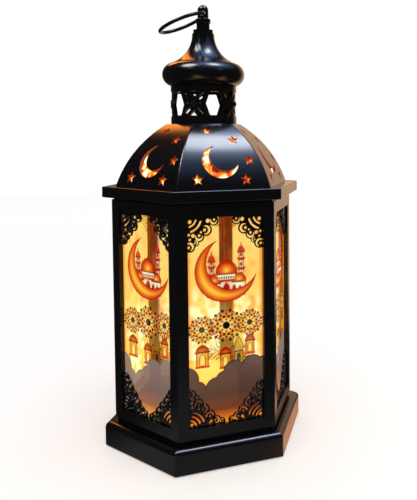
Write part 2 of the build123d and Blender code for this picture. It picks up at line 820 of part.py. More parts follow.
outer_vault = vault(dome_h, 0)
inner_vault = vault(dome_h - dome_top_t, dome_shell_t)
with BuildPart() as roof_dome:
    add(outer_vault)
    ribs = [edge for edge in roof_dome.edges() if edge.bounding_box().size.Z > dome_h / 2]
    fillet(ribs, dome_rib_r)
    add(inner_vault, mode=Mode.SUBTRACT)
    with BuildSketch(Plane.XY.offset(eave_top_z)):
        with PolarLocations(roof_screw_circle_r, sides):
            Circle(dome_boss_r)
    extrude(amount=dome_boss_h)
    with BuildSketch(Plane.XY.offset(eave_top_z)):
        with PolarLocations(roof_screw_circle_r, sides):
            Circle(roof_screw_shank_r + thread_gap)
    extrude(amount=roof_screw_seat_z + roof_screw_l + slip_gap - eave_top_z, mode=Mode.SUBTRACT)
    with BuildSketch(Plane.XY.offset(dome_top_z)):
        Circle(gallery_bore_r)
    extrude(amount=-(dome_top_t + overrun), mode=Mode.SUBTRACT)
    for k in range(sides):
        out = around(face_angle(k), 1, 0)
        middle = out * (arc_centre_a + dome_arc_r * cos(arc_mid))
        middle += up * (eave_top_z + arc_centre_h + dome_arc_r * sin(arc_mid))
        normal = out * cos(arc_mid) + up * sin(arc_mid)
        with BuildSketch(Plane(origin=middle, x_dir=around(face_angle(k) + 90, 1, 0), z_dir=normal)):
            crescent_x = crescent_place_shares[0] * dome_base_corner_r / 2
            crescent_y = crescent_place_shares[1] * arc_l
            bite = around(crescent_turn, crescent_shift, 0)
            with Locations((crescent_x, crescent_y)):
                Circle(crescent_r)
            with Locations((crescent_x + bite.X, crescent_y + bite.Y)):
                Circle(crescent_hollow_r, mode=Mode.SUBTRACT)
            for share_x, share_y in star_places_shares:
                with Locations((share_x * dome_base_corner_r / 2, share_y * arc_l)):
                    star(star_r, star_waist_share)
        extrude(amount=pierce_depth, both=True, mode=Mode.SUBTRACT)
save(roof_dome, "roof_dome")

# Dome liner: a thin vault just inside the shell, cut away round the screw bosses
liner_top = dome_h - dome_top_t - liner_gap
liner_outer = vault(liner_top, dome_shell_t + liner_gap)
liner_inner = vault(liner_top - liner_t, dome_shell_t + liner_gap + liner_t)
with BuildPart() as dome_liner:
    add(liner_outer)
    add(liner_inner, mode=Mode.SUBTRACT)
    with BuildSketch(Plane.XY.offset(eave_top_z)):
        with PolarLocations(roof_screw_circle_r, sides):
            Circle(dome_boss_r + liner_gap)
    extrude(amount=dome_boss_h + liner_gap, mode=Mode.SUBTRACT)
    with BuildSketch(Plane.XY.offset(dome_top_z)):
        Circle(gallery_bore_r + liner_gap)
    extrude(amount=-(dome_top_t + liner_gap + liner_t), mode=Mode.SUBTRACT)
save(dome_liner, "dome_liner")

# Gallery ring: two bands with a lattice between them, and a spigot let into the dome
lattice_h = gallery_h - gallery_bottom_band - gallery_top_band
lattice_z = dome_top_z + gallery_bottom_band + lattice_h / 2
spigot_r = gallery_bore_r - slip_gap


def knot_angle(k):
    """Direction of knot k of the lattice, from the front window's left corner on."""
    return corner_angle(-1) + 360 / lattice_count * k


with BuildPart() as gallery_ring:
    with BuildSketch(Plane.XY.offset(dome_top_z)):
        Circle(gallery_r)
        Circle(spigot_r - spigot_wall, mode=Mode.SUBTRACT)
    extrude(amount=gallery_wall - spigot_wall)
    with BuildSketch(Plane.XY.offset(dome_top_z)):
        Circle(spigot_r)
        Circle(spigot_r - spigot_wall, mode=Mode.SUBTRACT)
    extrude(amount=-spigot_h)
    with BuildSketch(Plane.XY.offset(dome_top_z)):
        Circle(gallery_r)
        Circle(gallery_bore_r, mode=Mode.SUBTRACT)
    extrude(amount=gallery_h)
    with BuildSketch(Plane.XY.offset(lattice_z)):
        Circle(gallery_r + overrun)
        Circle(gallery_r - lattice_set_back, mode=Mode.SUBTRACT)
    extrude(amount=lattice_h / 2, both=True, mode=Mode.SUBTRACT)
    for k in range(lattice_count):
        with BuildSketch(upright(knot_angle(k), gallery_r - lattice_set_back + knot_proud, lattice_z)):
            Circle(knot_r)
            with Locations((-bead_circle_r, 0), (bead_circle_r, 0)):
                Circle(bead_r)
        extrude(amount=-(knot_proud + gallery_wall / 2))
    for k in range(lattice_count):
        with BuildSketch(upright(knot_angle(k + 1 / 2), gallery_r + overrun, lattice_z)) as light:
            with BuildLine():
                sill = lattice_h / 2 - light_gap
                right_side = [(light_sill_w / 2, -sill), (light_w / 2, 0), (light_sill_w / 2, sill)]
                left_side = [(-light_sill_w / 2, sill), (-light_w / 2, 0), (-light_sill_w / 2, -sill)]
                Polyline(*right_side, *left_side, close=True)
            make_face()
            fillet(light.vertices(), light_round_r)
        extrude(amount=-(gallery_wall + 3 * overrun), mode=Mode.SUBTRACT)
        with BuildSketch(upright(knot_angle(k), gallery_r + overrun, lattice_z)):
            for side in (-1, 1):
                gusset_base = side * (lattice_h / 2 - gusset_gap)
                gusset_feet = [(-gusset_w / 2, gusset_base), (gusset_w / 2, gusset_base)]
                gusset_tip = (0, gusset_base - side * gusset_h)
                with BuildLine():
                    Polyline(*gusset_feet, gusset_tip, close=True)
                make_face()
                with Locations((side * bead_circle_r, 0)):
                    Circle(bead_hole_r)
            for step in range(4):
                arm = 45 + 90 * step
                with Locations(around(arm, arm_slot_circle_r, 0)):
                    SlotOverall(arm_slot_l, arm_slot_w, rotation=arm)
                with Locations(around(90 * step, knot_r / 2, 0)):
                    Circle(knot_hole_r)
        extrude(amount=-(gallery_wall + 3 * overrun), mode=Mode.SUBTRACT)
save(gallery_ring, "gallery_ring")

# Onion cap: a bulge and a flared neck joined by their common tangent, turned about the axis
bulge_centre = Vector(cap_bulge_circle_r, gallery_top_z + cap_bulge_r)
collar_z = cap_top_z - cap_collar_h
flare_centre = Vector(cap_flare_circle_r, collar_z)
between = flare_centre - bulge_centre
lean = atan2(between.Y, between.X) - acos((cap_bulge_r + cap_flare_r) / between.length)
tangent_normal = Vector(cos(lean), sin(lean))


def cap_points(inset):
    """Ends of the bulge's and the flare's arcs, and a middle point on each, inset from the outside."""
    bulge_r = cap_bulge_r - inset
    flare_r = cap_flare_r + inset
    bulge_mid = bulge_centre + Vector(cos(lean / 2 - pi / 4), sin(lean / 2 - pi / 4)) * bulge_r
    flare_turn = (pi + lean + pi) / 2
    return {
        "bulge_low": bulge_centre - Vector(0, bulge_r),
        "bulge_mid": bulge_mid,
        "bulge_high": bulge_centre + tangent_normal * bulge_r,
        "flare_low": flare_centre - tangent_normal * flare_r,
        "flare_mid": flare_centre + Vector(cos(flare_turn), sin(flare_turn)) * flare_r,
        "flare_r": flare_r,
    }


skin = cap_points(0)
core = cap_points(cap_wall)
plug_z = cap_top_z - cap_plug_h
core_plug_r = flare_centre.X - sqrt(core["flare_r"] ** 2 - (collar_z - plug_z) ** 2)
core_turn = (pi + lean + pi + atan2(collar_z - plug_z, flare_centre.X - core_plug_r)) / 2
core_flare_mid = flare_centre + Vector(cos(core_turn), sin(core_turn)) * core["flare_r"]
cap_spigot_r = gallery_bore_r - slip_gap
cap_mouth_r = cap_spigot_r - spigot_wall
flare_top = Vector(cap_flare_circle_r - cap_flare_r, collar_z)
with BuildPart() as onion_cap:
    with BuildSketch(Plane.XZ):
        with BuildLine():
            Line((0, gallery_top_z), skin["bulge_low"])
            ThreePointArc(skin["bulge_low"], skin["bulge_mid"], skin["bulge_high"])
            Line(skin["bulge_high"], skin["flare_low"])
            ThreePointArc(skin["flare_low"], skin["flare_mid"], flare_top)
            Polyline(flare_top, (cap_collar_r, collar_z), (cap_collar_r, cap_top_z), (0, cap_top_z))
            Line((0, cap_top_z), (0, gallery_top_z))
        make_face()
    revolve(axis=Axis.Z)
    with BuildSketch(Plane.XY.offset(gallery_top_z)):
        Circle(cap_spigot_r)
    extrude(amount=-cap_spigot_h)
    with BuildSketch(Plane.XZ):
        with BuildLine():
            floor_z = gallery_top_z + cap_wall
            Polyline((0, plug_z), (0, floor_z), core["bulge_low"])
            ThreePointArc(core["bulge_low"], core["bulge_mid"], core["bulge_high"])
            Line(core["bulge_high"], core["flare_low"])
            ThreePointArc(core["flare_low"], core_flare_mid, (core_plug_r, plug_z))
            Line((core_plug_r, plug_z), (0, plug_z))
        make_face()
    revolve(axis=Axis.Z, mode=Mode.SUBTRACT)
    with BuildSketch(Plane.XY.offset(floor_z)):
        Circle(cap_mouth_r)
    extrude(amount=-(cap_wall + cap_spigot_h), mode=Mode.SUBTRACT)
    with BuildSketch(Plane.XY.offset(cap_top_z)):
        Circle(shank_r + thread_gap)
    extrude(amount=-cap_plug_h, mode=Mode.SUBTRACT)
save(onion_cap, "onion_cap")

# Finial eye: a turned neck, disc and round-headed lug with a cross hole, on a threaded shank
eye_axis = around(eye_turn - 90, 1, 0)
shank_z = plug_z - washer_t - nut_h - shank_tail
with BuildPart() as finial_eye:
    with BuildSketch(Plane.XY.offset(shank_z)):
        Circle(shank_r)
    extrude(amount=cap_top_z - shank_z)
    with BuildSketch(Plane.XY.offset(cap_top_z)):
        Circle(finial_neck_r)
    extrude(amount=finial_neck_h)
    with BuildSketch(Plane.XY.offset(finial_disc_z)):
        Circle(finial_disc_r)
    extrude(amount=finial_disc_h)
    rims = finial_eye.edges().filter_by(GeomType.CIRCLE).filter_by(lambda rim: rim.radius == finial_disc_r)
    fillet(rims, finial_disc_edge_r)
    with BuildSketch(Plane.XZ):
        with BuildLine():
            crown_z = lug_z + lug_h - lug_r
            Polyline((0, lug_z + lug_h), (0, lug_z), (lug_r, lug_z), (lug_r, crown_z))
            RadiusArc((lug_r, crown_z), (0, lug_z + lug_h), -lug_r)
        make_face()
    revolve(axis=Axis.Z)
    with BuildSketch(Plane(origin=(0, 0, eye_z), z_dir=eye_axis)):
        Circle(eye_hole_r)
    extrude(amount=lug_r + overrun, both=True, mode=Mode.SUBTRACT)
save(finial_eye, "finial_eye")

with BuildPart() as finial_washer:
    with BuildSketch(Plane.XY.offset(plug_z)):
        Circle(washer_r)
        Circle(shank_r + thread_gap, mode=Mode.SUBTRACT)
    extrude(amount=-washer_t)
save(finial_washer, "finial_washer")

with BuildPart() as finial_nut:
    with BuildSketch(Plane.XY.offset(plug_z - washer_t)):
        RegularPolygon(radius=nut_flats / 2, side_count=sides, major_radius=False)
        Circle(shank_r + thread_gap, mode=Mode.SUBTRACT)
    extrude(amount=-nut_h)
save(finial_nut, "finial_nut")

# Hanging ring: it turns in the lug's hole, and its bend is centred on the hole's middle
ring_sag = ring_r - sqrt(ring_r ** 2 - lug_r ** 2)
ring_out = around(eye_turn + 180, cos(radians(ring_tilt)), -sin(radians(ring_tilt)))
ring_centre = Vector(0, 0, eye_z) + ring_out * (ring_r - ring_sag / 2)
with BuildPart(Plane(origin=ring_centre, x_dir=ring_out, z_dir=ring_out.cross(eye_axis))) as hanging_ring:
    Torus(ring_r, ring_wire_r)
save(hanging_ring, "hanging_ring")
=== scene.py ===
# %% [markdown]
# # A six-sided festival lantern
# The real lantern is a black moulded body round six printed windows, with a lamp in its base, a pierced
# dome, a pierced collar, an onion cap and a wire ring to hang it by. The construction model holds every
# rigid piece at its real place and size. This lesson gives those pieces their finishes, and makes the two
# things that need more than a flat solid: the inked films and the rounded scrolls in the window corners.

import math

import bpy
import numpy as np
from mathutils import Matrix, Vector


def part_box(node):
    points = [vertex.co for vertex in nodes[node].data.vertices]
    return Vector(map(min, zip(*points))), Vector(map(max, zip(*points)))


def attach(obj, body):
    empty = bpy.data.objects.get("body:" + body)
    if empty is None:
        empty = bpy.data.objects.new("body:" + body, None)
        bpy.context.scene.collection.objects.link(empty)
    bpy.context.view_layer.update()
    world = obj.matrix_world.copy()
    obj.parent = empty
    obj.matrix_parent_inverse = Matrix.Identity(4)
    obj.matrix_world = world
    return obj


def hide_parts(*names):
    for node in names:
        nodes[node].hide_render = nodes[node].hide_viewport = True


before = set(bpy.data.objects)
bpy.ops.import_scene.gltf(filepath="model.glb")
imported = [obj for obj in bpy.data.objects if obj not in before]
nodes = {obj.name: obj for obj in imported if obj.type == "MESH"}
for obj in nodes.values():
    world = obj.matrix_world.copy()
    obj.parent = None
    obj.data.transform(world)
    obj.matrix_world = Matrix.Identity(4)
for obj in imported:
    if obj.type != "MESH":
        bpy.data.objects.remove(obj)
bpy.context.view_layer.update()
mm = 0.001
sides = 6

# %% [markdown]
# ## Colours and nodes
# Colours are written as sRGB hex values, as a paint chart gives them, and one function turns them to the
# linear values that light is added up in. A second small function adds a node, with its settings and its
# links, so that each finish below reads as a short list of what the real surface shows.

# %% Colour and node helpers


def linear(hex_colour):
    """Linear red, green and blue of an sRGB hex colour."""
    srgb = np.array([int(hex_colour[at:at + 2], 16) for at in (1, 3, 5)]) / 255
    return np.where(srgb <= 0.04045, srgb / 12.92, ((srgb + 0.055) / 1.055) ** 2.4)


def add_node(tree, kind, inputs=None, stops=None, **settings):
    """A shader node: settings are its own choices, inputs its values and links, stops a colour ramp."""
    node = tree.nodes.new("ShaderNode" + kind)
    for name, value in settings.items():
        setattr(node, name, value)
    for socket, value in (inputs or {}).items():
        if isinstance(value, bpy.types.NodeSocket):
            tree.links.new(value, node.inputs[socket])
        else:
            node.inputs[socket].default_value = value
    if stops:
        ramp = node.color_ramp
        while len(ramp.elements) < len(stops):
            ramp.elements.new(1.0)
        for element, (place, hex_colour) in zip(ramp.elements, stops):
            element.position = place
            element.color = (*linear(hex_colour), 1.0)
    return node


def new_finish(name, hex_colour, **values):
    """A material with its plain values set on the shader's own sockets; returns it, its tree and shader."""
    finish = bpy.data.materials.new(name)
    finish.use_nodes = True
    tree = finish.node_tree
    shader = tree.nodes["Principled BSDF"]
    shader.inputs["Base Color"].default_value = (*linear(hex_colour), 1.0)
    for socket, value in values.items():
        shader.inputs[socket.replace("_", " ")].default_value = value
    return finish, tree, shader


def dress(finish, *names):
    """Give a finish to construction nodes."""
    for name in names:
        nodes[name].data.materials.clear()
        nodes[name].data.materials.append(finish)
    print(finish.name, "on", len(names), "nodes")


# %% [markdown]
# ## The camera
# The photograph was taken a little to the left of the front window, from the height of the dome, with the
# lens almost level and the picture cut from the lower left of what the lens saw. That is a shifted lens in
# Blender. The place, the turn and the length of the lens come from matching the corners of the base, the
# frames and the eave.

# %% Camera
picture_w, picture_h = 417, 500
sensor = 36.0
lens_px = 661.1
centre_px = (300.0, 172.0)
camera_reach = 438.0 * mm
camera_height = 199.05 * mm
camera_turn = math.radians(-13.748)
camera_yaw = math.radians(8.221)
camera_pitch = math.radians(3.507)
camera_roll = math.radians(-0.12)

heading = camera_yaw - camera_turn
level_right = np.array([math.cos(heading), -math.sin(heading), 0.0])
forward = np.array([
    math.sin(heading) * math.cos(camera_pitch),
    math.cos(heading) * math.cos(camera_pitch),
    -math.sin(camera_pitch),
])
level_up = np.cross(level_right, forward)
right = math.cos(camera_roll) * level_right + math.sin(camera_roll) * level_up
upward = math.cos(camera_roll) * level_up - math.sin(camera_roll) * level_right
place = [camera_reach * math.sin(camera_turn), -camera_reach * math.cos(camera_turn), camera_height]

camera = bpy.data.objects.new("camera", bpy.data.cameras.new("camera"))
camera.data.sensor_width = sensor
camera.data.lens = lens_px / picture_h * sensor
camera.data.shift_x = (picture_w / 2 - centre_px[0]) / picture_h
camera.data.shift_y = (centre_px[1] - picture_h / 2) / picture_h
camera.data.clip_start = 10 * mm
columns = np.column_stack([right, upward, -forward, place])
camera.matrix_world = Matrix([*columns.tolist(), [0, 0, 0, 1]])
bpy.context.scene.collection.objects.link(camera)
bpy.context.scene.camera = camera
bpy.context.scene.view_settings.view_transform = "Standard"
print("camera:", round(camera.data.lens, 1), "mm lens,", round(camera_reach, 3), "m from the axis")

# %% [markdown]
# ## Floor and surround
# The floor is white paper that runs into a white surround. Paper in a real studio gets darker towards the
# edges, and a photographer lights them up again. Here the paper shines a little where the camera, a gloss or
# a clear film looks at it, more so far out, and the lantern's soft shadow stays. Close to the lantern the
# shine is a little warm: a painted pool of warm light, as paper shows under lit windows.

# %% Stage
floor_half = 4.0
shine_reach = (0.2, 1.2)
shine_range = (0.42, 0.53)
# painted warm light: the floor's shine is tinted warm close to the lantern
painted_warm_pool_stops = [(0.06, "#fff5ea"), (0.16, "#ffffff")]
floor_mesh = bpy.data.meshes.new("floor")
floor_corners = [(x * floor_half, y * floor_half, 0) for x, y in ((-1, -1), (1, -1), (1, 1), (-1, 1))]
floor_mesh.from_pydata(floor_corners, [], [(0, 1, 2, 3)])
floor = bpy.data.objects.new("floor", floor_mesh)
bpy.context.scene.collection.objects.link(floor)


def seen_directly(tree):
    """1 for a ray from the camera, a gloss or a clear film, and 0 for the light that a surface scatters."""
    path = add_node(tree, "LightPath").outputs
    seen = path["Is Camera Ray"]
    for ray in ("Is Glossy Ray", "Is Transmission Ray"):
        seen = add_node(tree, "Math", {0: seen, 1: path[ray]}, operation="MAXIMUM").outputs[0]
    return seen


paper, tree, shader = new_finish("white_paper_floor", "#f3f1ee", Roughness=0.6)
shader.inputs["Specular IOR Level"].default_value = 0.15
spot = add_node(tree, "TexCoord").outputs["Object"]
reach = add_node(tree, "VectorMath", {0: spot}, operation="LENGTH")
# this tint is a painted pool of warm light round the lantern
tint = add_node(tree, "ValToRGB", {"Fac": reach.outputs["Value"]}, stops=painted_warm_pool_stops)
tree.links.new(tint.outputs["Color"], shader.inputs["Emission Color"])
fill = add_node(tree, "MapRange", {"Value": reach.outputs["Value"]})
fill.inputs["From Min"].default_value, fill.inputs["From Max"].default_value = shine_reach
fill.inputs["To Min"].default_value, fill.inputs["To Max"].default_value = shine_range
shine = add_node(tree, "Math", {0: fill.outputs["Result"], 1: seen_directly(tree)}, operation="MULTIPLY")
tree.links.new(shine.outputs[0], shader.inputs["Emission Strength"])
floor_mesh.materials.append(paper)

world = bpy.data.worlds.new("studio")
world.use_nodes = True
tree = world.node_tree
tree.nodes.clear()
surround = add_node(tree, "Background", {"Color": (1, 1, 1, 1), "Strength": 1.0})
ambient = add_node(tree, "Background", {"Color": (*linear("#f6f6fa"), 1.0), "Strength": 0.6})
choice = add_node(tree, "MixShader", {0: seen_directly(tree), 1: ambient.outputs[0], 2: surround.outputs[0]})
add_node(tree, "OutputWorld", {"Surface": choice.outputs[0]})
bpy.context.scene.world = world

key = bpy.data.objects.new("soft_box", bpy.data.lights.new("soft_box", "AREA"))
key.data.size = 0.8
key.data.energy = 3.0
key.location = (0.0, -0.5, 1.1)
key.rotation_euler = (math.radians(24), 0, 0)
key.visible_glossy = False
bpy.context.scene.collection.objects.link(key)
print("stage: floor, surround and a soft box")

# %% [markdown]
# ## A tent for the reflections
# Black gloss is seen by what it mirrors. A photographer hangs dark cloth round such a thing and lets in a
# few cards. Here a small white light over the roof has two wider, bluer hazes round it. A tan card and a
# tan patch of floor stand on the right, an amber card behind on the left, and a grey patch of floor in
# front, for the base. Three small lights draw the bright marks on the cap's neck and on the dome's rib, and
# two warm patches lie far out on the floor, where the undersides look. The tent is a half globe on a wide
# floor ring, and each card is a soft round patch on it: its glow falls off with the angle from the card's
# middle. Only glossy rays meet the tent, so it neither lights nor hides anything.

# %% Reflection tent
tent_r = 1.8
ring_r = 0.05
ring_z = 0.4 * mm
cloth_glow = 0.035
card_core, card_skirt = 0.65, 1.35
around = np.radians(np.arange(0, 361, 3))
floor_r = np.geomspace(ring_r, tent_r, 40)
climb = np.radians(np.linspace(0, 90, 46)[1:])
tent_r_rows = np.concatenate([floor_r, tent_r * np.cos(climb)])
tent_z_rows = np.concatenate([0 * floor_r + ring_z, tent_r * np.sin(climb)])
tent_x = tent_r_rows[:, None] * np.cos(around)
tent_y = tent_r_rows[:, None] * np.sin(around)
tent_z = tent_z_rows[:, None] + 0 * around
tent_points = np.stack([tent_x, tent_y, tent_z], axis=-1)
eye_height = 0.1
sight = tent_points - [0, 0, eye_height]
sight /= np.linalg.norm(sight, axis=-1, keepdims=True)
cards = [
    ("roof_light", 331, 73.5, 9.5, "#f4f7ff", 17.0),
    ("roof_haze", 335, 74, 20, "#a8c4f4", 3.4),
    ("roof_sky", 335, 74, 34, "#8fb0e8", 1.6),
    ("tan_card", 56, 6, 27, "#e0b795", 1.4),
    ("tan_floor", 338, -48, 24, "#d89a70", 1.6),
    ("grey_floor", 245, -52, 34, "#e8e4e2", 0.28),
    ("amber_card", 99, 40, 10, "#f08a3c", 10.0),
    ("neck_left", 214, 40, 6, "#dfeaff", 2.0),
    ("neck_right", 306, 34, 6, "#dfeaff", 1.4),
    ("rib_light", 190, 62, 13, "#f4f8ff", 18.0),
    ("warm_left", 236, -26, 13, "#d0935c", 3.0),
    ("warm_right", 320, -26, 12, "#d0935c", 3.0),
]
glow = np.full(tent_points.shape, cloth_glow)
for name, turn, rise, half_angle, colour, strength in cards:
    turn, rise = math.radians(turn), math.radians(rise)
    middle = [math.cos(turn) * math.cos(rise), math.sin(turn) * math.cos(rise), math.sin(rise)]
    angle = np.degrees(np.arccos(np.clip(sight @ middle, -1, 1)))
    fall = np.clip((half_angle * card_skirt - angle) / (half_angle * (card_skirt - card_core)), 0, 1)
    glow += (fall * fall * (3 - 2 * fall) * strength)[..., None] * linear(colour)


def grid_faces(index):
    """Quads between the neighbours of a grid of vertex numbers."""
    return np.stack([index[:-1, :-1], index[:-1, 1:], index[1:, 1:], index[1:, :-1]], axis=-1).reshape(-1, 4)


tent_mesh = bpy.data.meshes.new("reflection_tent")
tent_index = np.arange(tent_x.size).reshape(tent_x.shape)
tent_mesh.from_pydata(tent_points.reshape(-1, 3).tolist(), [], grid_faces(tent_index).tolist())
tent_layer = tent_mesh.color_attributes.new("glow", "FLOAT_COLOR", "POINT")
tent_colours = np.concatenate([glow, np.ones_like(glow[..., :1])], axis=-1)
tent_layer.data.foreach_set("color", tent_colours.astype(np.float32).ravel())
tent = bpy.data.objects.new("reflection_tent", tent_mesh)
tent.visible_camera = tent.visible_diffuse = tent.visible_transmission = tent.visible_shadow = False
bpy.context.scene.collection.objects.link(tent)
cloth, tree, shader = new_finish("lit_tent_cloth", "#000000", Roughness=1.0)
shader.inputs["Specular IOR Level"].default_value = 0.0
shader.inputs["Emission Strength"].default_value = 1.0
patch = add_node(tree, "Attribute", attribute_name="glow")
tree.links.new(patch.outputs["Color"], shader.inputs["Emission Color"])
tent_mesh.materials.append(cloth)
print("tent:", len(cards), "cards on", tent_x.size, "points")

# %% [markdown]
# ## Black moulded plastic
# Body, roof and scrolls are injection-moulded ABS, black right through, taken from a polished mould. The
# eye gets soft, long highlights, slightly uneven where the melt flowed, and no grain. So the colour is
# near black, the roughness drifts over a few centimetres, and a very low bump bends the reflections.

# %% Black ABS
flow_mm = 22
ripple_mm = 6
ripple_height = 0.3 * mm
ripple_strength = 0.04
polish = (0.13, 0.24)
frames = [f"side_frame_{k + 1}" for k in range(sides)]
body_pieces = ["base_plinth", *frames, "eave_plate", "gallery_ring", "onion_cap", "finial_eye"]
for name, pieces in (("moulded_black_abs", body_pieces), ("pierced_abs_with_painted_glow", ["roof_dome"])):
    finish, tree, shader = new_finish(name, "#0b0b0d", IOR=1.53, Specular_IOR_Level=0.4)
    spot = add_node(tree, "TexCoord").outputs["Object"]
    flow = add_node(tree, "TexNoise", {"Vector": spot, "Scale": 1000 / flow_mm, "Detail": 3.0})
    sheen = add_node(tree, "MapRange", {"Value": flow.outputs["Fac"]})
    sheen.inputs["To Min"].default_value, sheen.inputs["To Max"].default_value = polish
    ripple = add_node(tree, "TexNoise", {"Vector": spot, "Scale": 1000 / ripple_mm})
    relief = add_node(tree, "Bump", {"Height": ripple.outputs["Fac"], "Distance": ripple_height})
    relief.inputs["Strength"].default_value = ripple_strength
    tree.links.new(sheen.outputs["Result"], shader.inputs["Roughness"])
    tree.links.new(relief.outputs["Normal"], shader.inputs["Normal"])
    dress(finish, *pieces)
black_abs = bpy.data.materials["moulded_black_abs"]

# %% [markdown]
# ## Lit walls of the piercings
# The stars and crescents of the dome are cut through a shell two millimetres thick, and their walls catch
# the orange light of the film behind them, painted here as a glow of the plastic itself. Each face was cut
# along one direction, square to its middle, so a wall is what stands square to that direction, while the
# skin faces along it. The angle round the axis, snapped to the six faces, gives the direction, and the dot
# product with the surface's own normal finds the walls. This painted glow goes into the finish that was made
# last, the pierced plastic.

# %% Glow on the walls
cut_rise = math.radians(36)
wall_glow = 0.5
wall_range = (0.2, 0.35)
face_turn = 2 * math.pi / sides
apart = add_node(tree, "SeparateXYZ", {"Vector": spot})
turn = add_node(tree, "Math", {0: apart.outputs["Y"], 1: apart.outputs["X"]}, operation="ARCTAN2")
start = add_node(tree, "Math", {0: turn.outputs[0], 1: face_turn}, operation="SNAP")
axis = add_node(tree, "Math", {0: start.outputs[0], 1: face_turn / 2}, operation="ADD")
east = add_node(tree, "Math", {0: axis.outputs[0]}, operation="COSINE")
north = add_node(tree, "Math", {0: axis.outputs[0]}, operation="SINE")
cut = add_node(tree, "CombineXYZ", {"X": east.outputs[0], "Y": north.outputs[0], "Z": math.tan(cut_rise)})
facing = add_node(tree, "NewGeometry").outputs["True Normal"]
along = add_node(tree, "VectorMath", {0: cut.outputs[0], 1: facing}, operation="DOT_PRODUCT")
square = add_node(tree, "Math", {0: along.outputs["Value"]}, operation="ABSOLUTE")
lit = add_node(tree, "MapRange", {"Value": square.outputs[0], "To Min": wall_glow, "To Max": 0.0})
lit.inputs["From Min"].default_value, lit.inputs["From Max"].default_value = wall_range
# painted orange light on the walls of the cuts
shader.inputs["Emission Color"].default_value = (*linear("#c23c0b"), 1.0)
tree.links.new(lit.outputs["Result"], shader.inputs["Emission Strength"])
print(finish.name, "cut at", round(math.degrees(cut_rise)), "degrees")

# %% [markdown]
# ## Flame film in the dome
# Behind the piercings lies a thin orange film, crumpled and lit from below, so each star shows another
# patch of it, from dark red to almost white. Two octaves of noise, pulled about by their own distortion and
# sent through a fire-coloured ramp, give such patches. The film shines by itself here.

# %% Flame film
patch_mm = 6
flame_film, tree, shader = new_finish("flame_film", "#7a2a06", Roughness=0.35)
spot = add_node(tree, "TexCoord").outputs["Object"]
patches = add_node(tree, "TexNoise", {"Vector": spot, "Scale": 1000 / patch_mm, "Detail": 2.0})
patches.inputs["Distortion"].default_value = 0.8
fire_stops = [(0.34, "#2a0602"), (0.43, "#b8280a"), (0.5, "#ff7d12"), (0.56, "#ffd24a"), (0.62, "#fff8dc")]
fire = add_node(tree, "ValToRGB", {"Fac": patches.outputs["Fac"]}, stops=fire_stops)
tree.links.new(fire.outputs["Color"], shader.inputs["Emission Color"])
shader.inputs["Emission Strength"].default_value = 1.3
dress(flame_film, "dome_liner")

# %% [markdown]
# ## Small parts
# The hidden and underside pieces are spark-grained mouldings, zinc-plated screws, rubber feet, wires in soft
# PVC, a board under white solder mask and a lacquered wire ring. Each is one row of a table: two colours it
# drifts between, the size of its grain in millimetres, the range of its roughness and the height of its
# grain. One noise drives all three, so a duller spot is also a lighter and a higher one, as on real grain.
# Real grain is finer, and it is drawn coarse enough to show in a picture. Of these only the zinc is a metal,
# and the lacquered wire mirrors less than the rest.

# %% Grained finishes
zinc_pieces = ["cover_screws", "door_screws", "lamp_screws", "roof_screws", "finial_washer", "finial_nut"]
inner_pieces = ["bottom_cover", "battery_tray", "battery_door", "power_switch", "switch_knob"]
grained = [
    ("spark_grained_abs", "#121214", "#1d1d21", 0.8, 0.45, 0.65, 0.05, inner_pieces),
    ("zinc_plated_steel", "#a6aab0", "#c9ccd0", 1.5, 0.22, 0.42, 0.01, [*zinc_pieces, "battery_contacts"]),
    ("soft_rubber", "#151515", "#272727", 1.2, 0.7, 0.9, 0.04, ["rubber_feet"]),
    ("red_pvc_sleeve", "#94100c", "#bb1a14", 0.9, 0.35, 0.5, 0.01, ["wire_red"]),
    ("black_pvc_sleeve", "#0c0c0c", "#181818", 0.9, 0.35, 0.5, 0.01, ["wire_black", "wire_switched"]),
    ("white_solder_mask", "#dcd9d0", "#eeece6", 0.7, 0.3, 0.45, 0.02, ["lamp_board"]),
    ("black_lacquered_wire", "#080809", "#131315", 2.5, 0.14, 0.3, 0.02, ["hanging_ring"]),
]
for name, dark, light, grain_mm, smooth, rough, height_mm, pieces in grained:
    finish, tree, shader = new_finish(name, light)
    spot = add_node(tree, "TexCoord").outputs["Object"]
    noise = add_node(tree, "TexNoise", {"Vector": spot, "Scale": 1000 / grain_mm, "Detail": 3.0})
    grain = noise.outputs["Fac"]
    tint = add_node(tree, "ValToRGB", {"Fac": grain}, stops=[(0.35, dark), (0.65, light)])
    sheen = add_node(tree, "MapRange", {"Value": grain, "To Min": smooth, "To Max": rough})
    relief = add_node(tree, "Bump", {"Height": grain, "Distance": height_mm * mm, "Strength": 0.5})
    tree.links.new(tint.outputs["Color"], shader.inputs["Base Color"])
    tree.links.new(sheen.outputs["Result"], shader.inputs["Roughness"])
    tree.links.new(relief.outputs["Normal"], shader.inputs["Normal"])
    shader.inputs["Metallic"].default_value = 1.0 if name == "zinc_plated_steel" else 0.0
    shader.inputs["Specular IOR Level"].default_value = 0.25 if name == "black_lacquered_wire" else 0.5
    dress(finish, *pieces)

# %% [markdown]
# ## Cells and lamps
# A cell wears a printed shrink sleeve: dark for most of its length, copper-brown towards the plus end, bare
# metal at both ends, so a ramp along its axis with hard steps draws it. The lamps and the frosted cover over
# them shine. The cover is brightest over the ring of lamps and fades to its rim, so its glow is a ramp of
# the distance from the lantern's axis, mottled by the frosting.

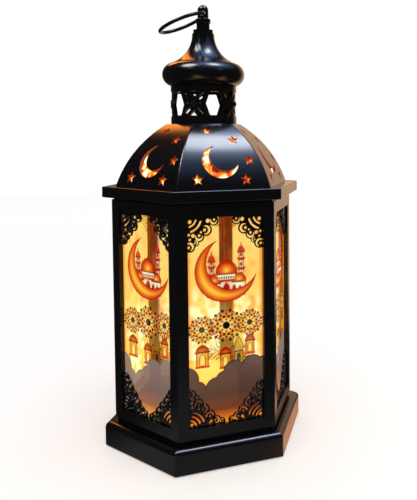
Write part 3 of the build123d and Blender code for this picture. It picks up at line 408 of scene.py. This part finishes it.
# %% Cell sleeves and lamp light
sleeve_mm = 50.5
cell_sleeve, tree, shader = new_finish("shrink_sleeve", "#2b3038", Roughness=0.3)
spot = add_node(tree, "TexCoord").outputs["Object"]
apart = add_node(tree, "SeparateXYZ", {"Vector": spot})
bands = add_node(tree, "MapRange", {"Value": apart.outputs["X"]})
bands.inputs["From Min"].default_value = -sleeve_mm / 2 * mm
bands.inputs["From Max"].default_value = sleeve_mm / 2 * mm
coat_stops = [(0.0, "#b8bcc2"), (0.03, "#20242a"), (0.72, "#20242a"), (0.74, "#b5793a"), (0.97, "#c9cdd2")]
sleeve_coat_and_film_haze = add_node(tree, "ValToRGB", {"Fac": bands.outputs["Result"]}, stops=coat_stops)
sleeve_coat_and_film_haze.color_ramp.interpolation = "CONSTANT"
tree.links.new(sleeve_coat_and_film_haze.outputs["Color"], shader.inputs["Base Color"])
dress(cell_sleeve, "battery_cell_1", "battery_cell_2", "battery_cell_3")

fade_mm = 40
lamp_lights = [
    ("warm_lamp_epoxy", "#ffd9a0", 0.15, 0.8, [(0.3, "#ffc26a"), (0.7, "#fff0cc")], 3.0, "lamp_leds"),
    ("frosted_cover", "#ffe9c4", 0.6, 2.0, [(0.3, "#ff9d2e"), (0.7, "#ffd27a")], 1.0, "lamp_diffuser"),
]
for name, colour, rough, frost_mm, stops, strength, piece in lamp_lights:
    finish, tree, shader = new_finish(name, colour, Roughness=rough, Emission_Strength=strength)
    spot = add_node(tree, "TexCoord").outputs["Object"]
    flat = add_node(tree, "VectorMath", {0: spot, 1: (1, 1, 0)}, operation="MULTIPLY")
    reach = add_node(tree, "VectorMath", {0: flat.outputs["Vector"]}, operation="LENGTH")
    frost = add_node(tree, "TexNoise", {"Vector": spot, "Scale": 1000 / frost_mm})
    fade = add_node(tree, "MapRange", {"Value": reach.outputs["Value"], "From Max": fade_mm * mm})
    fade.inputs["To Min"].default_value = 1.0
    fade.inputs["To Max"].default_value = 0.3
    glow = add_node(tree, "Math", {0: fade.outputs["Result"], 1: frost.outputs["Fac"]}, operation="MULTIPLY")
    light = add_node(tree, "ValToRGB", {"Fac": glow.outputs[0]}, stops=stops)
    tree.links.new(light.outputs["Color"], shader.inputs["Emission Color"])
    dress(finish, piece)

# %% [markdown]
# ## The printed windows
# Each window is a clear film with translucent inks. Seen from outside it is lit by the lamp and by what
# lies behind, so the far corner posts show through the pale ground as darker bands, and the figures, where
# the ink is thick, stand out. The print is a function of two lengths, across and up the film, worked out
# on a fine grid: signed distances draw the figures, and ramps of the distance give the shaded edges.

# %% Drawing on a grid
print_step = 0.36
film_low, film_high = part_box("printed_panel_1")
film_w = (film_high.x - film_low.x) / mm
film_z = (film_low.z / mm, film_high.z / mm)
film_out = -film_low.y / mm
film_t = (film_high.y - film_low.y) / mm
cols = int(film_w / print_step) + 1
rows = int((film_z[1] - film_z[0]) / print_step) + 1
S, Z = np.meshgrid(np.linspace(-film_w / 2, film_w / 2, cols), np.linspace(*film_z, rows))
ground = np.zeros((rows, cols, 4))


def shaded(values, stops):
    """Colour ramp in numpy: values against (value, hex) stops, mixed in linear light."""
    places = [place for place, colour in stops]
    colours = np.array([linear(colour) for place, colour in stops])
    return np.stack([np.interp(values, places, colours[:, c]) for c in range(3)], axis=-1)


def wash(picture, colour, share):
    """Mix a colour into a picture, each point by its own share."""
    ink = linear(colour) if isinstance(colour, str) else colour
    picture[..., :3] += (ink - picture[..., :3]) * share


def within(distance):
    """Share of a point that a figure covers: 1 at a negative distance, with an edge one grid step wide."""
    return np.clip(0.5 - distance / print_step, 0, 1)[..., None]


def lay(distance, colour, cover=0.95):
    """Lay ink of some cover where a signed distance in mm is negative."""
    mask = within(distance)
    wash(ground, colour, mask)
    ground[..., 3:] += (cover - ground[..., 3:]) * mask


def band(z, spread):
    """A soft level band across the film: 1 at height z, falling off as a bell over a spread, in mm."""
    return np.exp(-((Z - z) / spread) ** 2)


def clouds(size, seed):
    """Smooth noise about 0, in patches of some size in mm: white noise under a Gaussian in frequency."""
    noise = np.random.default_rng(seed).standard_normal((rows, cols))
    wave = np.hypot(np.fft.fftfreq(rows, print_step)[:, None], np.fft.fftfreq(cols, print_step)[None])
    blurred = np.fft.ifft2(np.fft.fft2(noise) * np.exp(-((wave * size) ** 2) * 2)).real
    return blurred / blurred.std()


print("print grid:", cols, "by", rows)

# %% [markdown]
# ### Shapes as distances
# A signed distance says how far each point of the grid lies from an outline, with a minus inside. Discs,
# bars, pointed arches and onion domes are short formulas of this kind. The smaller of two distances joins
# two shapes, the larger keeps what they share, and a line is where a distance is close to 0.

# %% Shapes as distances


def disc(s, z, r):
    """Distance to a round spot."""
    return np.hypot(S - s, Z - z) - r


def bar(s, z, half_w, half_h):
    """Distance to an upright rectangle about its middle."""
    return np.maximum(np.abs(S - s) - half_w, np.abs(Z - z) - half_h)


def arch(s, z, half_w, stand):
    """Distance to a pointed arch: a straight opening to height z + stand, then two arcs as wide as it."""
    above = np.maximum(Z - z - stand, 0)
    return np.maximum(np.hypot(np.abs(S - s) + half_w, above) - 2 * half_w, z - Z)


def onion(s, z, half_w, height):
    """Distance to an onion dome: its half width swells a little, then draws in to a point."""
    up = np.clip((Z - z) / height, 0, 1)
    reach = half_w * (1 + 0.5 * up) * (1 - up ** 1.7) ** 0.8
    return np.maximum(np.abs(S - s) - reach, np.maximum(z - Z, Z - z - height))


def folded(s, z, count, turn=0.0):
    """Places about a middle, with the angle folded into one of equal shares of the turn: out and aside."""
    r = np.hypot(S - s, Z - z)
    share = 2 * math.pi / count
    fold = (np.arctan2(Z - z, S - s) + turn + share / 2) % share - share / 2
    return r * np.cos(fold), r * np.sin(fold)


def dots(s, z, count, ring_r, dot_r):
    """Distance to a ring of round spots."""
    out, aside = folded(s, z, count)
    return np.hypot(out - ring_r, aside) - dot_r


def gems(s, z, count, ring_r, size, turn):
    """Distance to a ring of diamonds, whose measure is the sum of both offsets."""
    out, aside = folded(s, z, count, turn)
    return (np.abs(out - ring_r) + np.abs(aside) - size) * math.sqrt(0.5)


def line(distance, width):
    """Distance to a line of some width along an outline."""
    return np.abs(distance) - width / 2


print("a disc of 1 mm covers", round(float(within(disc(0, 90, 1)).sum()) * print_step ** 2, 2), "square mm")

# %% [markdown]
# ### Ground and hills
# The ground is an amber wash, thin enough to see through, with blots, and along the frame a painted orange
# light: a thin bright line at the frame and a wider glow. Low down, a bank of dark rounded hills closes the
# picture, with a painted glow of the lamp at its foot. What one sees from behind is another layer of painted
# light: there the film only shows the light that fills the lantern, pale gold over the lamp and warmer
# above, and near its sides, where it laps over the black frame, dark streaks of painted shade.

# %% Ground
wash_stops = [
    (24, "#f08c1c"), (45, "#ffb832"), (70, "#ffc850"), (95, "#f9962c"), (120, "#e25a18"), (150, "#cf3413"),
]
ground[..., :3] = shaded(Z, wash_stops)
ground[..., 3] = np.interp(Z, [70, 125], [0.3, 0.2])
blots = np.clip(clouds(8, 4) * 0.5, 0, 1)[..., None]
wash(ground, "#f78a1e", blots * 0.7)
ground[..., 3:] += blots * 0.08
wash(ground, "#ffec98", np.clip(clouds(6, 9) * 0.4 * band(90, 16), 0, 1)[..., None])

window_half = (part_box("corner_fretwork_1")[1].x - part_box("corner_fretwork_1")[0].x) / mm / 2
from_frame = window_half - np.abs(S)
painted_glow_mm = 7
edge_light_cover = 0.85
# painted light along the frame: a thin bright line at the frame and a wider orange glow lower down
edge_light_line = np.clip((2.6 - from_frame) / 2.0, 0, 1)
painted_glow = np.clip(1 - from_frame / painted_glow_mm, 0, 1) ** 2 * band(72, 34)
edge = np.maximum(edge_light_line, painted_glow)[..., None]
wash(ground, "#ff9018", edge)
ground[..., 3:] += (edge_light_cover - ground[..., 3:]) * edge
print("ground laid, with a flush of", painted_glow_mm, "mm along the frame")

# %% Light inside
inner_gain, hot_gain = 1.12, 1.6
inner = np.ones((rows, cols, 4))
inner_stops = [
    (20, "#ffb428"), (33, "#ffe04c"), (46, "#ffe868"), (60, "#ffe76c"), (78, "#ffdc58"), (115, "#fbe070"),
    (150, "#f6d860"),
]
inner[..., :3] = shaded(Z, inner_stops) * inner_gain
warm = np.clip(clouds(7, 21) * 0.6, 0, 1)[..., None]
wash(inner, "#ffb028", warm * 0.8)
hot = np.clip((0.3 + clouds(6, 33) * 0.9) * band(52, 24), 0, 1)[..., None]
wash(inner, hot_gain * linear("#fff5b8"), hot)
# painted shade: dark streaks where the film laps over the black frame
lapped = np.clip((1.4 - from_frame) / 0.8, 0, 1)
inner[..., 3] = 0.95 - 0.3 * lapped
streaks = np.random.default_rng(12).standard_normal(cols) + 0.6 * clouds(9, 12)
painted_post_shade = shaded(streaks, [(-1.2, "#140602"), (0.2, "#54200a"), (1.4, "#c4601c")])
wash(inner, painted_post_shade, lapped[..., None])
print("light inside, brightest value", round(float(inner[..., :3].max()), 2))

# %% Hills
hill_foot_z = 38
rim_mm = 1.2
hill_tops = [
    (-24.5, 53, 8), (-18, 46, 6), (-12.5, 41, 6), (-6, 46, 7), (-0.5, 50, 6.5), (5, 55, 7), (11, 53, 6),
    (16.5, 57, 7), (24, 55, 7.5),
]
hills = Z - hill_foot_z
for s, z, r in hill_tops:
    hills = np.minimum(hills, np.minimum(disc(s, z, r), bar(s, z - 15, r, 15)))
# the lowest stops are a painted glow of the lamp at the hills' foot, the upper ones the brown of the ink
hill_ink_and_glow_stops = [(23, "#ffae26"), (28, "#d86a18"), (33, "#74371d"), (42, "#4e332b"), (60, "#5b443b")]
hill_ink_and_glow = shaded(Z, hill_ink_and_glow_stops)
rim = np.clip(1 + hills / rim_mm, 0, 1)[..., None]
wash(hill_ink_and_glow, "#22130f", rim * 0.85)
print(len(hill_tops), "hills")

# %% [markdown]
# ### Figures
# The figures are the ones that such lanterns have long carried: a crescent holding a small domed mosque
# with two minarets, a row of rosettes, market stalls with pointed roofs, and lanterns above the hills. They
# are drawn here from discs, arches and onion profiles, in reds that turn to orange and gold.

# %% Mosque and crescent
wall_z = 103.0
red, deep_red, cream = "#cf2410", "#8c0f0a", "#fff0c4"
for tower_s, cap_z in ((-8.4, 122.6), (9.8, 127.4)):
    tall = cap_z - wall_z
    shaft = bar(tower_s, wall_z + tall / 2, 1.3, tall / 2)
    lay(shaft, cream, 0.75)
    lay(line(shaft, 0.6), "#b23a18", 0.95)
    for share in (0.36, 0.6, 0.84):
        ledge_z = wall_z + tall * share
        lay(bar(tower_s, ledge_z, 2.5, 0.7), red)
        lay(bar(tower_s, ledge_z - 1.0, 1.9, 0.5), deep_red)
        lay(arch(tower_s, ledge_z + 1.1, 0.8, 1.4), deep_red)
    lay(onion(tower_s, cap_z, 2.1, 4.0), red)
    lay(bar(tower_s, cap_z, 2.5, 0.55), deep_red)
    lay(bar(tower_s, cap_z + 4.4, 0.3, 1.2), deep_red)

walls = bar(0.6, wall_z + 2.6, 11.6, 4.4)
lay(walls, cream, 0.8)
domes = [(-6.9, 109.2, 3.9, 5.0), (8.3, 109.6, 4.2, 5.4), (0.7, 114.6, 6.2, 8.8)]
dome_stops = [(0.0, "#ffd84e"), (0.35, "#f08a1e"), (0.75, "#cf2c0f"), (1.1, "#9c120a")]
for dome_s, dome_z, half_w, height in domes:
    lay(bar(dome_s, dome_z - 1.0, half_w * 0.85, 1.0), cream, 0.9)
    outline = onion(dome_s, dome_z, half_w, height)
    glow = np.hypot(S - dome_s, (Z - dome_z - height * 0.25) * 1.1) / half_w
    lay(outline, shaded(glow, dome_stops), 0.97)
    lay(line(outline, 0.5), deep_red)
    lay(bar(dome_s, dome_z - 0.1, half_w * 1.04, 0.5), deep_red)
    lay(bar(dome_s, dome_z + height + 0.5, 0.22, 1.2), deep_red)
lay(bar(0.7, 112.7, 4.9, 1.5), cream, 0.92)
for step in range(-3, 4):
    lay(arch(0.7 + step * 1.4, 111.7, 0.4, 0.9), "#2a0a08")
lay(bar(0.7, 110.9, 5.6, 0.45), red)
lay(line(walls, 0.6), "#b23a18", 0.9)
doors = [(0.6, 2.1, 4.0), (-4.2, 1.2, 4.0), (5.4, 1.2, 4.0), (-7.8, 1.0, 3.6), (9.0, 1.0, 3.6)]
for door_s, half_w, stand in doors:
    lay(arch(door_s, wall_z - 1, half_w, stand), shaded(Z, [(102, "#5f0a06"), (109, "#c4220f")]))

moon_s, moon_z, moon_r = 0.4, 116.6, 19.0
moon = np.maximum(disc(moon_s, moon_z, moon_r), -disc(moon_s + 4.4, moon_z + 5.0, moon_r - 2.7))
moon_stops = [(0.0, "#8a0d07"), (0.6, "#bd1c0b"), (1.4, "#df4d12"), (2.6, "#f0841c"), (4.4, "#ffc73c")]
lay(moon, shaded(-moon, moon_stops), 0.97)
print("crescent of", moon_r, "mm with a mosque")

# %% Rosettes
petals = 12
between = math.pi / petals
for rose_s, rose_z, r in ((-14.6, 82.4, 7.6), (0.3, 83.6, 9.2), (14.9, 84.0, 7.4)):
    around_r = np.hypot(S - rose_s, Z - rose_z)
    wave = np.cos(petals * np.arctan2(Z - rose_z, S - rose_s))
    for share, colour, cover in ((0.88, "#ffd464", 0.7), (0.7, "#f8981e", 0.85)):
        frill = around_r - r * (share + 0.06 * wave)
        lay(frill, colour, cover)
        lay(line(frill, 0.5), "#a8260e", 0.95)
    lay(gems(rose_s, rose_z, petals, r * 1.0, r * 0.15, between), "#120404")
    lay(dots(rose_s, rose_z, petals, r * 0.97, r * 0.075), "#b3160d")
    lay(dots(rose_s, rose_z, petals, r * 0.78, r * 0.095), "#8c0d09")
    lay(gems(rose_s, rose_z, petals, r * 0.6, r * 0.12, between), "#1e0605")
    lay(disc(rose_s, rose_z, r * 0.47), "#ffdf80", 0.9)
    lay(dots(rose_s, rose_z, 8, r * 0.38, r * 0.075), "#b5180e")
    lay(disc(rose_s, rose_z, r * 0.25), "#080303")
print("rosettes of", petals, "petals")

# %% Market stalls and little lanterns
for stall_s, stall_z, half_w, height in ((4.2, 64, 1.9, 7), (11.6, 63, 2.2, 7), (7.8, 67, 2.6, 9)):
    stall = onion(stall_s, stall_z, half_w, height)
    booth = bar(stall_s, stall_z - 5, half_w, 5)
    lay(booth, "#b8701a", 0.6)
    lay(stall, "#c07a18", 0.65)
    lay(line(stall, 0.6), "#4a200a", 0.9)
    lay(line(booth, 0.6), "#4a200a", 0.9)
    lay(arch(stall_s, stall_z - 9, half_w * 0.5, 6), "#3c1808", 0.9)
    lay(bar(stall_s, stall_z + height, 0.2, 1.4), "#4a200a", 0.9)

for lamp_s, lamp_z, half_w, height in ((-14.4, 60, 3.4, 9), (-0.4, 58, 2.9, 8.6), (15, 65, 2.5, 8)):
    body = bar(lamp_s, lamp_z + height * 0.5, half_w, height * 0.5)
    lay(body, "#ffc530", 0.9)
    lay(line(body, 0.9), "#b81f0c")
    lay(line(np.abs(S - lamp_s) - half_w * 0.62, 0.4) + 9 * (body > 0), "#d8581c", 0.95)
    pane = arch(lamp_s, lamp_z + 0.8, half_w * 0.5, height * 0.45)
    lay(pane, "#ffe064", 0.9)
    lay(line(pane, 0.5), "#a8240f", 0.95)
    lay(bar(lamp_s, lamp_z, half_w * 1.3, 0.7), red)
    cap_z = lamp_z + height
    glow = np.hypot(S - lamp_s, (Z - cap_z) * 1.3) / half_w
    lay(onion(lamp_s, cap_z, half_w * 1.15, height * 0.5), shaded(glow, [(0, "#f08a1e"), (1.1, "#a8140a")]))
    lay(bar(lamp_s, cap_z - 0.1, half_w * 1.4, 0.6), deep_red)
    lay(bar(lamp_s, cap_z + height * 0.45 + 1.6, 0.18, 1.8), "#8c2a14", 0.9)
lay(hills, hill_ink_and_glow, 0.985)
covers = ground[..., 3]
print("print done, ink cover", round(float(covers.min()), 2), "to", round(float(covers.max()), 2))

# %% [markdown]
# ### From print to film
# The grid becomes the outer face of a thin sheet. The ink is a colour attribute, with its cover as the
# attribute's alpha, and the painted inner light is a second one, for the side that faces inwards. The rim
# and the back of the sheet are clear, so that light passes through one layer of ink. A film shines with its
# own print, as a lit transparency does, and keeps a little gloss. The brown of the hills is laid last. It is
# paler on the two sheets beside the front one, and a little different on the rest. This is a painted haze,
# standing in for the bright surroundings that these slanted windows reflect. Each sheet's hills have their
# colour and the light they let through raised to a power of their own.

# %% Film finish
ink_film, tree, shader = new_finish("inked_film", "#000000", Roughness=0.35)
shader.inputs["Specular IOR Level"].default_value = 0.2
ink = add_node(tree, "Attribute", attribute_name="print")
inside = add_node(tree, "Attribute", attribute_name="inner_light")
turned = add_node(tree, "NewGeometry").outputs["Backfacing"]
both_colours = {0: turned, 6: ink.outputs["Color"], 7: inside.outputs["Color"]}
lit = add_node(tree, "Mix", both_colours, data_type="RGBA")
cover = add_node(tree, "Mix", {0: turned, 2: ink.outputs["Alpha"], 3: inside.outputs["Alpha"]})
tree.links.new(lit.outputs[2], shader.inputs["Emission Color"])
tree.links.new(cover.outputs[0], shader.inputs["Alpha"])
shader.inputs["Emission Strength"].default_value = 1.0
clear_film, tree, shader = new_finish("clear_film", "#fff4dc", Alpha=0.01)
roller_mm = 3.0
spot = add_node(tree, "TexCoord").outputs["Object"]
haze = add_node(tree, "TexNoise", {"Vector": spot, "Scale": 1000 / roller_mm})
dull = add_node(tree, "MapRange", {"Value": haze.outputs["Fac"], "To Min": 0.18, "To Max": 0.36})
tree.links.new(dull.outputs["Result"], shader.inputs["Roughness"])
print(ink_film.name, "and", clear_film.name)


def window_points(k, across, high, out):
    """Places on window k, in metres: across and up its face, and out from the lantern's axis, in mm."""
    turn = math.radians(-90 + 360 / sides * k)
    x = -math.sin(turn) * across + math.cos(turn) * out
    y = math.cos(turn) * across + math.sin(turn) * out
    return np.stack([x, y, high + 0 * x], axis=-1).reshape(-1, 3) * mm


def new_piece(name, points, faces, *finishes):
    """A mesh object from arrays of places and faces, riding on the lantern's body."""
    mesh = bpy.data.meshes.new(name)
    mesh.from_pydata(points.tolist(), [], [list(map(int, face)) for face in faces])
    for finish in finishes:
        mesh.materials.append(finish)
    piece = bpy.data.objects.new(name, mesh)
    bpy.context.scene.collection.objects.link(piece)
    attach(piece, "lantern")
    return piece


# %% Six films
index = np.arange(rows * cols).reshape(rows, cols)
rim_loop = np.concatenate([index[0, :-1], index[:-1, -1], index[-1, :0:-1], index[:0:-1, 0]])
back_loop = rows * cols + np.arange(len(rim_loop))
rim_faces = np.stack([rim_loop, back_loop, np.roll(back_loop, -1), np.roll(rim_loop, -1)], axis=-1)
front_faces = grid_faces(index)
film_faces = [*front_faces, *rim_faces, back_loop[::-1]]
hill_mask = within(hills)
painted_haze_coats = [0.97, 0.55, 1.05, 1.0, 0.95, 0.6]
# painted haze: paler hills on the sheets beside the front one
for k, sleeve_coat_and_film_haze in enumerate(painted_haze_coats):
    power = 1 + (sleeve_coat_and_film_haze - 1) * hill_mask
    front = window_points(k, S, Z, film_out)
    back = window_points(k, S.ravel()[rim_loop], Z.ravel()[rim_loop], film_out - film_t)
    film = new_piece(f"inked_film_{k + 1}", np.vstack([front, back]), film_faces, ink_film, clear_film)
    sheet = np.concatenate([ground[..., :3] ** power, 1 - (1 - ground[..., 3:]) ** power], axis=-1)
    for name, picture in (("print", sheet), ("inner_light", inner)):
        colours = np.vstack([picture.reshape(-1, 4), picture.reshape(-1, 4)[rim_loop]]).astype(np.float32)
        layer = film.data.color_attributes.new(name, "FLOAT_COLOR", "POINT")
        layer.data.foreach_set("color", colours.ravel())
    slots = np.ones(len(film_faces), np.int32)
    slots[:len(front_faces)] = 0
    film.data.polygons.foreach_set("material_index", slots)
    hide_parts(f"printed_panel_{k + 1}")
print("films:", sides, "of", len(film_faces), "faces")

# %% [markdown]
# ## The corner scrolls
# The fretwork is moulded with rounded strands, which catch a thin line of light, and a flat plate can't do
# that. The outline of the flat solid gives the pattern. On a fine grid, the distance to that outline turns
# into height: a short upright wall, then a quarter round up to the strand's crown. Grid points just past
# the outline are pulled back onto it, so the edge runs smooth.

# %% Outline of the flat fretwork
fret_step = 0.2
level_mm = 0.01
fret_mesh = nodes["corner_fretwork_1"].data
fret_points = np.zeros(len(fret_mesh.vertices) * 3)
fret_mesh.vertices.foreach_get("co", fret_points)
fret_points = fret_points.reshape(-1, 3) / mm
fret_mesh.calc_loop_triangles()
fret_tris = np.zeros(len(fret_mesh.loop_triangles) * 3, np.int32)
fret_mesh.loop_triangles.foreach_get("vertices", fret_tris)
fret_tris = fret_tris.reshape(-1, 3)
crown_y = fret_points[:, 1].min()
root_y = fret_points[:, 1].max()
fret_t = root_y - crown_y
flat = fret_tris[(np.abs(fret_points[fret_tris][..., 1] - crown_y) < level_mm).all(axis=1)]
spots, same = np.unique(np.round(fret_points[:, [0, 2]], 3), axis=0, return_inverse=True)
tri_edges = np.sort(same.reshape(-1)[flat][:, [0, 1, 1, 2, 2, 0]].reshape(-1, 2), axis=1)
edges, uses = np.unique(tri_edges, axis=0, return_counts=True)
outline = spots[edges[uses == 1]]
print("fretwork outline:", len(outline), "segments, plate", round(fret_t, 2), "mm thick")


def outline_distance(points, segments):
    """Signed distance, negative inside: the nearest segment, and the parity of crossings to the right."""
    best = np.full(len(points), np.inf)
    inside = np.zeros(len(points), bool)
    batch = 40
    for start in range(0, len(segments), batch):
        a, b = segments[start:start + batch].transpose(1, 0, 2)[:, None]
        along = b - a
        to_point = points[:, None] - a
        share = np.clip((to_point * along).sum(-1) / (along ** 2).sum(-1), 0, 1)
        gap = np.linalg.norm(to_point - along * share[..., None], axis=-1)
        best = np.minimum(best, gap.min(axis=1))
        straddles = (a[..., 1] > points[:, None, 1]) != (b[..., 1] > points[:, None, 1])
        rise = np.where(along[..., 1] == 0, 1, along[..., 1])
        crossing = a[..., 0] + along[..., 0] * (points[:, None, 1] - a[..., 1]) / rise
        inside ^= (straddles & (crossing > points[:, None, 0])).sum(axis=1) % 2 == 1
    return np.where(inside, -best, best)


# %% Rounded relief
wall_share = 0.45
round_mm = 0.75
pull_in, pull_out = 0.35 * fret_step, 1.2 * fret_step
least_slope = 0.3


def rounded(segments):
    """Points, as across, up and height in mm, and faces of one bracket that fills an outline."""
    low = segments.reshape(-1, 2).min(axis=0) - fret_step
    high = segments.reshape(-1, 2).max(axis=0) + fret_step
    xs = np.arange(low[0], high[0] + fret_step, fret_step)
    zs = np.arange(low[1], high[1] + fret_step, fret_step)
    X, H = np.meshgrid(xs, zs)
    depth = outline_distance(np.column_stack([X.ravel(), H.ravel()]), segments).reshape(X.shape)
    slope_z, slope_x = np.gradient(depth, fret_step)
    steep = np.maximum(np.hypot(slope_x, slope_z), least_slope)
    near = (depth > -pull_in) & (depth < pull_out)
    X = np.where(near, X - depth * slope_x / steep, X)
    H = np.where(near, H - depth * slope_z / steep, H)
    into = np.clip(np.where(near, 0, -depth) / round_mm, 0, 1)
    height = fret_t * (wall_share + (1 - wall_share) * np.sqrt(1 - (1 - into) ** 2))
    corners = grid_faces(np.arange(X.size).reshape(X.shape))
    cell = depth.ravel()[corners]
    kept = corners[(cell.min(axis=1) < 0) & (cell.max(axis=1) < pull_out)]
    used, face = np.unique(kept, return_inverse=True)
    face = face.reshape(-1, 4)
    crown = np.column_stack([X.ravel()[used], H.ravel()[used], height.ravel()[used]])
    root = crown * [1, 1, 0]
    pairs = face[:, [0, 1, 1, 2, 2, 3, 3, 0]].reshape(-1, 2)
    keys = np.sort(pairs, axis=1)
    first, counts = np.unique(keys, axis=0, return_index=True, return_counts=True)[1:]
    begin, end = pairs[first[counts == 1]].T
    wall = np.stack([end, begin, begin + len(used), end + len(used)], axis=-1)
    return np.vstack([crown, root]), np.vstack([face, face[:, ::-1] + len(used), wall])


relief_points = np.zeros((0, 3))
relief_faces = np.zeros((0, 4), int)
middle = (spots.min(axis=0) + spots.max(axis=0)) / 2
centres = outline.mean(axis=1) - middle
for way_x in (-1, 1):
    for way_z in (-1, 1):
        mine = outline[(centres[:, 0] * way_x > 0) & (centres[:, 1] * way_z > 0)]
        points, faces = rounded(mine)
        relief_faces = np.vstack([relief_faces, faces + len(relief_points)])
        relief_points = np.vstack([relief_points, points])
print("one window's brackets:", len(relief_faces), "faces")

# %% Six sets of scrolls
crease = math.radians(50)
for k in range(sides):
    out = -root_y + relief_points[:, 2]
    places = window_points(k, relief_points[:, 0], relief_points[:, 1], out)
    scrolls = new_piece(f"corner_scrolls_{k + 1}", places, relief_faces, black_abs)
    scrolls.data.shade_smooth()
    scrolls.data.set_sharp_from_angle(angle=crease)
    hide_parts(f"corner_fretwork_{k + 1}")
print("scrolls:", sides, "pieces of", len(relief_faces), "faces")
